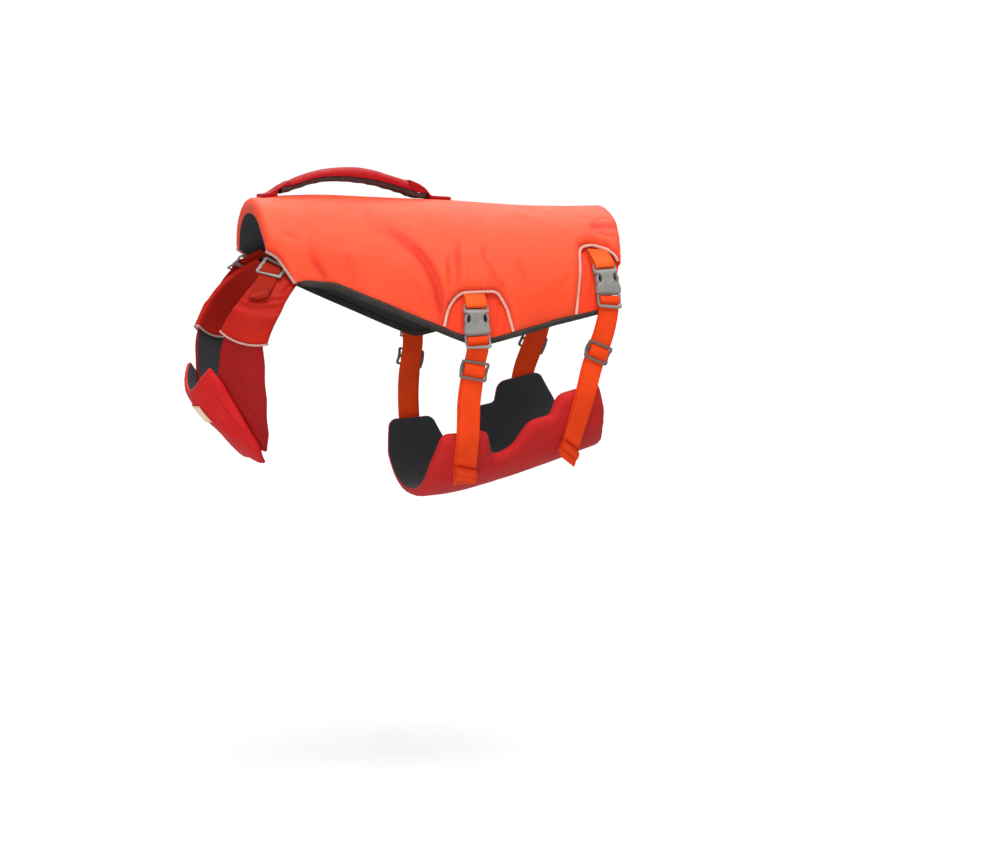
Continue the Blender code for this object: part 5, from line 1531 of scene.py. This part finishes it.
# ---------------------------------------------------------------- chest ring
CHEST_FOLDS = (   # u0, v0, u1, v1, bow, reach, depth, lip
    (38, -56, 44, -100, -2, 4.0, -1.5, 0.3), (29, -44, 37, -94, -3, 4.5, 1.3, 0.5),
    (51, -26, 55, -84, -3, 3.4, 1.2, 0.5), (17, -50, 22, -104, 2, 4.6, 1.1, 0.5),
    (40, -22, 28, -40, 2, 4.0, 0.4, 0.2), (4, -82, 9, -108, 1, 4.0, 0.6, 0.3),
)
ARM_FOLDS = (     # u0, v0, u1, v1, bow, reach, depth, lip
    (84, 12, 96, -22, 3, 5, 0.5, 0.3), (70, 4, 84, -40, -3, 6, 0.5, 0.3), (62, -40, 74, -66, 2, 4, 0.5, 0.4),
    (98, 8, 102, -30, 2, 5, 0.4, 0.3), (56, -60, 60, -88, 2, 4, 0.45, 0.3), (76, 34, 100, 28, 2, 4, 0.4, 0.3),
)


def chest_lift(flat):
    """The chest pad's thickness, with its creases and gathers."""
    right = right_side(flat, 0)
    distance, s, _ = nearest(right, rounded(CHEST))
    rise = roll(distance, CHEST_ROLL)
    lift = CHEST_EDGE + (CHEST_PAD - CHEST_EDGE) * rise
    detail = soft_hills(flat, 0.25, 15.0, 1.2) - folds(right, CHEST_FOLDS, bowed)
    detail += puckers(distance - 2, s, np.where(flat[:, 0] < 0, 1.1, 3.0), depth=0.22, pitch=8.0)
    wide, high, middle = 1.25, 1.3, -65     # the calmer place round the label
    inside = within(flat, closed([(u * wide, middle + (v - middle) * high, r) for u, v, r in LABEL]))
    return lift + detail * smooth(rise * 1.4) * np.where(inside, 0.25, 1.0)


def chest_shade(flat):
    """How much painted shade darkens the chest's cover in its creases."""
    return np.clip(folds(right_side(flat, 0), CHEST_FOLDS, bowed) / 2.4, 0, 0.5)


def chest():
    """The chest pad, its row of stitches and its label."""
    half = rounded(CHEST)
    flat = Flat(mirrored_outline(half), SPACING["chest"])
    flat.edge = with_painted_crease_shade(flat.edge, chest_shade(flat.points))
    shape = flat.over(breast, 0, chest_lift(flat.points), bulge=0.4)
    add("chest_cover", shape, "chest", "chest", ["chest_panel"])
    path = looped(inset(mirrored_outline(half), CHEST_INSET))
    sew("red", sewn(breast, path, lambda p: chest_lift(p) + CLOTH_THREAD))
    label_patch()


def label_patch():
    """The bare cream patch, pressed in a little along its sewing."""
    outline = closed(LABEL, 2)
    flat = Flat(outline, SPACING["label"])
    base = chest_lift(flat.points) + 2 * GAP
    outer = base + LABEL_THICK - 0.25 * np.exp(-((flat.edge - LABEL_INSET) / 0.6)**2)
    shape = flat.over(breast, base, outer, bulge=0.12)
    shape.lining = len(shape.faces)
    label = add("label_patch", shape, "label", "label", ["chest_label"])
    sew("cream", sewn(breast, looped(inset(outline, LABEL_INSET)),
                      lambda p: chest_lift(p) + 2 * GAP + LABEL_THICK - 0.1, length=1.5, gap=0.6))


def arms():
    """The cloth arms from the chest up to the neck, which the sleeves gather round."""
    flat = Flat(closed(ARM_OUTLINE), SPACING["arm"])

    def make(letter):
        x, y = flat.points.T
        keep = smooth(flat.edge / 4)                   # no creases at its edge
        hem = 0.3 * smooth((5.2 - flat.edge) / 1.2)    # a turned hem 5 mm wide
        free = np.clip((27 - y) / 8, 0, 1)             # flat under the sleeve
        behind = smooth((x - 62) / 5)                  # not proud under the chest's edge
        bend = 1 if letter == "L" else -0.6
        lift = -ARM_UNDER - keep * free * folds(
            flat.points, ARM_FOLDS, lambda *ends: bowed(*ends[:4], ends[4] * bend))
        lift = lift + soft_hills(flat.points, 0.2, 13.0, 0.2 if letter == "L" else 1.7) * keep * free
        lift = -ARM_UNDER + (lift + ARM_UNDER + hem * free) * np.where(lift + hem > -ARM_UNDER, behind, 1.0)
        return flat.over(breast, -ARM_UNDER - ARM, lift, bulge=0.3)

    for piece in add_pair("arm", make, "arm", "arm", "chest_arm"):
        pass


DEEPEST = -0.8          # a sleeve's fold goes no further in
SLEEVE_FOLDS = (    # across and up the sleeve, from (-1..1, mm) to (-1..1, mm), reach in mm, depth
    (-0.95, 27.0, 0.97, 31.0, 2.3, 1.6), (-0.7, 34.5, 0.95, 37.5, 1.9, 1.1), (-0.35, 2, -0.5, 24, 2.6, 0.7),
    (0.5, 6, 0.62, 22, 3.5, 0.5), (0.62, 40, 0.8, 60, 2.6, 1.1), (-0.75, 44, -0.6, 62, 2.5, 0.6),
)


def sleeve_section(row, wide, high, turns):
    """One flat oval round the arm: across (-1 to 1) and up at its turns, half its width, its flat places and lifts."""
    front, rear, (sag, puff) = row[:2], row[2:4], row[4:]
    half = np.linalg.norm(rear - front) / 2
    across, up = (np.sign(way) * np.abs(way)**OVAL for way in (np.cos(turns), np.sin(turns)))
    place = (front + rear) / 2 + np.outer(across * (half + wide) / half, (rear - front) / 2)
    place[:, 1] -= sag * (1 - np.clip(np.abs(across), 0, 1)**2)
    return across, up, half, place, -ARM_UNDER - ARM / 2 + up * high + np.where(up > 0, puff * up, 0)


def sleeve_sections(wide, high, puffed):
    """Sections round the arm, from the sleeve's hem up, with its bunched folds outside."""
    stations = np.arange(len(SLEEVE_ROWS), dtype=float)
    at = np.linspace(0, len(SLEEVE_ROWS) - 1, SLEEVE_SECTIONS)
    table, turns = read_smoothly(at, stations, SLEEVE_ROWS), circle(SLEEVE_SIDES)
    loops, cloth = [], []
    for row, height in zip(table, lengths((table[:, :2] + table[:, 2:4]) / 2)):
        across, up, half, place, lift = sleeve_section(row, wide, high, turns)
        if puffed:
            flat = np.column_stack([across * half, np.full(SLEEVE_SIDES, height)])
            detail = -sum(fold(flat, np.array(((x0 * half, y0), ((x0 + x1) / 2 * half, (y0 + y1) / 2 - 1.2),
                                               (x1 * half, y1))), reach, depth, 0.9)
                          for x0, y0, x1, y1, reach, depth in SLEEVE_FOLDS)
            outside = np.clip(up, 0, 1)**2 * smooth(height / 3)
            lift = lift + np.maximum(detail, DEEPEST) * outside
            lift = lift + 0.25 * smooth(4.2 - height) * (up > 0)     # the turned hem
        loops.append(on(breast, *place.T, lift))
        cloth.append(strip(turns * half / 1.6, height, height))
    return np.array(loops), np.array(cloth)


def sleeve_rim(wide, high):
    """The sleeve's lowest two sections as the solids have them, for the cord round its hem."""
    sections = (sleeve_section(row, wide, high, circle(RIM_SIDES)) for row in SLEEVE_ROWS[:2])
    return np.array([on(breast, *place.T, lift) for *_, place, lift in sections])


def sleeves():
    """The bunched sleeves, and the reflective cord round each hem."""
    inner_wide, inner_high = 0.4, ARM / 2 + SLEEVE_ROOM
    outer, cloth = sleeve_sections(inner_wide + SLEEVE, inner_high + SLEEVE, True)
    inner, _ = sleeve_sections(inner_wide, inner_high, False)
    shape = tube_wall(outer, inner, cloth)
    for piece in add_pair("sleeve", shape, "sleeve", "sleeve", "neck_sleeve"):
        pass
    rim = sleeve_rim(inner_wide + SLEEVE + 0.1, inner_high + SLEEVE + 0.1)
    fine = looped(rim[0] + unit(rim[0] - rim[1]) * (PIPING + GAP))
    s = lengths(fine)
    ring = read_smoothly(np.linspace(0, s[-1], 97)[:-1], s, fine)
    shape = cord(ring, HEM_CORD, ring=True)
    add_pair("hem_cord", shape, "piping_neck", "piping", "hem_piping")


def neck_straps():
    """The webbing down each sleeve, with its slider and its sewn end."""
    rows = NECK_STRAP
    v = np.linspace(rows[0, 0], rows[-1, 0], 80)
    order = np.argsort(rows[:, 0])
    u = through(v, rows[order, 0], rows[order, 1])
    line = Line(breast, u, v)
    length = line.s[-1]
    slide = float(np.interp(-NECK_SLIDER, -v, line.s))
    low = -ARM_UNDER + SLEEVE_ROOM + SLEEVE + GAP + WEB / 2
    fold_half = (WEB + GAP) / 2
    way = [(0, low, 0), *over_slider(slide, low, SLIDER_THICK + GAP), (length - 12, low + 0.6, 3),
           (length, low + 1.6, fold_half), (length, low + 1.6 + 2 * fold_half, fold_half),
           (length - TAIL_FOLD, low + 1.0 + 2 * fold_half, 0)]

    def slant(along):
        """The webbing's lean, from its slider to its end."""
        return NECK_SLANT * smooth((along - slide - 12) / (length - slide - 14))

    strap, size = tape(line, way, width=NECK_WEB, seed=1.6, slant=slant)
    for piece in add_pair("neck_tape", strap, "neck_web", "webbing", "neck_webbing"):
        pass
    bent = line.bend(slider_part(NECK_WEB), slide, low - WEB / 2)
    add_pair("neck_adjuster", bent, "hardware", "hardware", "neck_slider", sharp=50.0)
    across = np.linspace(-6.6, 6.6, 16)
    for back in (0.0, 1.8):
        sew("orange", line.sewn(across, length - 4.4 - back + across * NECK_SLANT,
                                low + 1.15 + 2 * fold_half + WEB / 2, length=1.7), both=True)


# ---------------------------------------------------------------- handle
def handle_z(x, column):
    """The height of the handle's top (column 1) or of its underside (2)."""
    return through(x, HANDLE[:, 0], HANDLE[:, column])


def crown(x):
    """The back panel's top along its middle line."""
    flat = np.column_stack([np.atleast_1d(x), np.zeros(np.size(x))])
    return on(torso, flat[:, 0], flat[:, 1], back_lift(flat, fine=False))[:, 2]


def handle():
    """The padded grip, its ribbed underside and the tabs that sew it down."""
    half = HANDLE_WIDTH / 2
    xs = np.linspace(*GRIP_ENDS, 96)
    under = handle_z(xs, 2) + UNDERSIDE - 0.5
    top = handle_z(xs, 1)
    s = xs - xs[0]
    sections, cloth = [], []
    for t in np.linspace(0, math.pi, 41):
        side = np.sign(math.cos(t) + 1e-9)
        low_edge = math.sin(t) < 0.6
        gather = puckers(np.abs(math.sin(t)) * 9.0, s, 0.7 if side > 0 else 2.6, depth=0.42, pitch=7.2, reach=6.0)
        creases = 0.22 * np.sin(s / 5.3 + 1.5 * side) * np.sin(t * 3.0 + s / 11.0) * math.sin(t)
        full = 1 + (0.6 * gather + creases) / 13.0
        y = np.full(len(xs), math.cos(t)) * half * np.clip(full, 0.93, 1.03)
        z = under + (top - under) * math.sin(t)**0.75 * (1 + (0.5 * gather * low_edge + creases) / 15.0)
        sections.append(np.column_stack([xs, y, z]))
        # the third value falls towards the grip's lower edges, so that its finish paints shade over its lower sides
        cloth.append(strip(s, t * half, 3.4 * math.sin(t)))
    shape = lofted(sections, cloth)
    add("grip_cover", shape, "grip", "grip", ["handle_grip"])
    handle_underside(half)
    foot("foot_rear", "handle_tab_rear", REAR_TAB)
    foot("foot_front", "handle_tab_front", FRONT_TAB)


def handle_underside(half):
    """Ribbed tape whose edges are drawn up unevenly by the grip's seam."""
    xs = np.linspace(*UNDERSIDE_ENDS, 150)
    low, high = handle_z(xs, 2), handle_z(xs, 2) + UNDERSIDE
    low = np.maximum(low, crown(xs) + GAP)
    s = xs - xs[0]
    ribs = 0.13 * np.sin(2 * math.pi * s / 2.2)
    corners = ((2 - half, 0), (-half / 2, 0), (0, 0), (half / 2, 0), (half - 2, 0), (half - 1.2, 0.2),
               (half - 1, 0.5), (half - 1.2, 0.8), (half - 2, 1), (0, 1), (2 - half, 1), (1.2 - half, 0.8),
               (1 - half, 0.5), (1.2 - half, 0.2))
    sections, cloth = [], []
    for k, (y, t) in enumerate(corners):
        scallop = 0.75 * (np.sin(2 * math.pi * s / 12.5 + 1.4 * drift(s, 0.4 if y < 0 else 2.3)) * 0.5 + 0.5)
        edge = smooth((abs(y) - half / 3) / 6)
        z = low + (high - low) * t + scallop * edge * (1 - t) + ribs * edge * (1 - t)
        wide = y * (1 + 0.012 * np.sin(s / 3.1 + y))
        sections.append(np.column_stack([xs, wide, z]))
        cloth.append(strip(s, k * 3.0, 4.0))
    shape = lofted(sections, cloth)
    piece = add("ribbed_underside", shape, "ribbed", "ribbed", ["handle_underside"])


def foot(name, node, rows):
    """The handle's end: down to the panel and flat along it, sewn with a box and a cross. A height
    of 0 in its rows stands for the panel's own."""
    rows = sorted(rows)
    xs = np.linspace(rows[0][0], rows[-1][0], 40)
    floor = crown(xs) + 0.1
    table = [(x, z if z else float(crown(x)[0]) + 2 * GAP + TAB) for x, z in rows]
    top = np.interp(xs, [x for x, _ in table], [z for _, z in table])
    weights = np.array((1, 3, 4, 3, 1), float) / 12
    top = np.concatenate([top[:2], np.convolve(top, weights, "valid"), top[-2:]])
    top = np.maximum(top, floor + TAB)
    strap = handle_z(xs, 2) + UNDERSIDE + GAP
    under_strap = (xs > UNDERSIDE_ENDS[0] - 4) & (xs < UNDERSIDE_ENDS[1] + 4)
    bottom = np.where(under_strap, np.maximum(floor, np.minimum(strap, top - TAB)), floor)
    half = HANDLE_WIDTH / 2 - 1
    s = lengths(np.column_stack([xs, top]))
    section = ((-1, 0), (-0.5, 0), (0, 0), (0.5, 0), (1, 0), (1.035, 0.5), (0.985, 0.92), (0.9, 1), (0.5, 1),
               (0, 1), (-0.5, 1), (-0.9, 1), (-0.985, 0.92), (-1.035, 0.5))
    sections, cloth = [], []
    for side, t in section:
        dent = 0.16 * np.sin(s / 3.3 + 2 * side) * (t == 1) * (abs(side) < 0.8)
        sections.append(np.column_stack([xs, np.full(len(xs), side * half), bottom + (top - bottom) * t + dent]))
        cloth.append(strip(s, side * half, half * (1 - abs(side))))
    shape = lofted(sections, cloth)
    piece = add(name, shape, "grip", "grip", [node])
    flat_part = xs[np.abs(top - floor - TAB) < 0.6]
    for flat in box_and_cross(flat_part.min() + 1.5, 2 - half, flat_part.max() - 1.5, half - 2):
        points = np.column_stack([flat, np.interp(flat[:, 0], xs, top) + CLOTH_THREAD])
        sew("red", dashes(points, np.tile((0.0, 0.0, 1.0), (len(points), 1)), length=1.8, gap=0.7))


def sewing():
    """All the stitches, a piece for each colour."""
    for colour, shapes in SEWING.items():
        add(f"stitches_{colour}", joined(shapes), f"thread_{colour}", "shell" if colour == "orange" else "chest",
            sharp=60.0)


# ---------------------------------------------------------------- light, floor and camera
VIEW_AZIMUTH, VIEW_RISE = -18.0, 5.0
VIEW_AIM = Vector((0.05725, -0.03725, -0.20276))
VIEW_DISTANCE = 2.45                        # metres
VIEW_FOCAL, SENSOR = 93.6, 36.0             # millimetres
CLIP = (0.05, 100)                          # metres
FLOOR_Z = -0.55
SUNS = (         # direction it comes from, angle across in degrees, strength
    ((0.0, -0.45, 0.86), 40.0, 2.6),
    ((0.15, 0.50, 0.85), 60.0, 2.2),
    ((-0.52, -0.85, -0.04), 60.0, 1.0),
    ((-0.50, -0.50, -0.70), 70.0, 0.9),
)
SUN_COLOUR = (1.0, 0.985, 0.965)
AMBIENT = 0.38
BACKDROP_REACH, BACKDROP_SIDES = 28.0, 36


def set_stage():
    """Even white light, four broad suns, a floor and a dome, all pale."""
    world = bpy.data.worlds.new("studio")
    bpy.context.scene.world = world
    world.use_nodes = True
    back = world.node_tree.nodes["Background"]
    back.inputs["Color"].default_value = (1.0, 1.0, 1.0, 1)
    back.inputs["Strength"].default_value = AMBIENT
    for place, across, strength in SUNS:
        lamp = bpy.data.lights.new("soft_sun", "SUN")
        lamp.energy, lamp.angle = strength, math.radians(across)
        lamp.color = SUN_COLOUR
        holder = bpy.data.objects.new("soft_sun", lamp)
        bpy.context.collection.objects.link(holder)
        holder.rotation_euler = (-Vector(place)).to_track_quat("-Z", "Y").to_euler()
    reach = BACKDROP_REACH
    plain_mesh("floor", [(x * reach, y * reach, FLOOR_Z) for x, y in ((-1, -1), (1, -1), (1, 1), (-1, 1))],
               [(0, 1, 2, 3)], paper("pale_floor", 0.36, 0.5))
    reach, count = 0.95 * BACKDROP_REACH, BACKDROP_SIDES
    turns = [2 * math.pi * k / count for k in range(count)]
    rises = [math.radians(degrees) for degrees in range(-15, 91, 15)]
    ring = [(math.cos(t) * math.cos(r) * reach, math.sin(t) * math.cos(r) * reach, math.sin(r) * reach)
            for r in rises for t in turns]
    rows = [(row * count, (row + 1) * count) for row in range(len(rises) - 1)]
    plain_mesh("backdrop", ring, quads(rows, count), paper("pale_backdrop", 0.0, 1.02))


def plain_mesh(name, points, faces, material):
    """A part of the studio, which the camera alone sees."""
    mesh = bpy.data.meshes.new(name)
    mesh.from_pydata(points, [], faces)
    mesh.materials.append(material)
    made = bpy.data.objects.new(name, mesh)
    bpy.context.collection.objects.link(made)
    for seen in ("visible_diffuse", "visible_glossy", "visible_transmission", "visible_shadow"):
        setattr(made, seen, False)


def paper(name, white, glow):
    """Pale seamless paper under even light."""
    material = bpy.data.materials.new(name)
    material.use_nodes = True
    shader = material.node_tree.nodes["Principled BSDF"]
    shader.inputs["Base Color"].default_value = (white, white, white, 1)
    shader.inputs["Emission Color"].default_value = (1, 1, 1, 1)
    shader.inputs["Emission Strength"].default_value = glow
    shader.inputs["Roughness"].default_value = 0.9
    shader.inputs["Specular IOR Level"].default_value = 0.0
    return material


def set_camera():
    """The photograph's view."""
    azimuth, rise = math.radians(VIEW_AZIMUTH), math.radians(VIEW_RISE)
    back = Vector((math.sin(azimuth) * math.cos(rise), -math.cos(azimuth) * math.cos(rise), math.sin(rise)))
    right = Vector((math.cos(azimuth), math.sin(azimuth), 0))
    up = back.cross(right)
    camera = bpy.data.cameras.new("camera")
    camera.lens, camera.sensor_width = VIEW_FOCAL, SENSOR
    camera.clip_start, camera.clip_end = CLIP
    holder = bpy.data.objects.new("camera", camera)
    bpy.context.collection.objects.link(holder)
    turn = Matrix((right, up, back)).transposed().to_4x4()
    holder.matrix_world = Matrix.Translation(VIEW_AIM + back * VIEW_DISTANCE) @ turn
    bpy.context.scene.camera = holder
    bpy.context.scene.view_settings.view_transform = "Standard"


set_stage()
set_camera()
back_cover()
arch_inserts()
bindings()
pipings()
belly_cover()
straps()
chest()
arms()
sleeves()
neck_straps()
handle()
sewing()
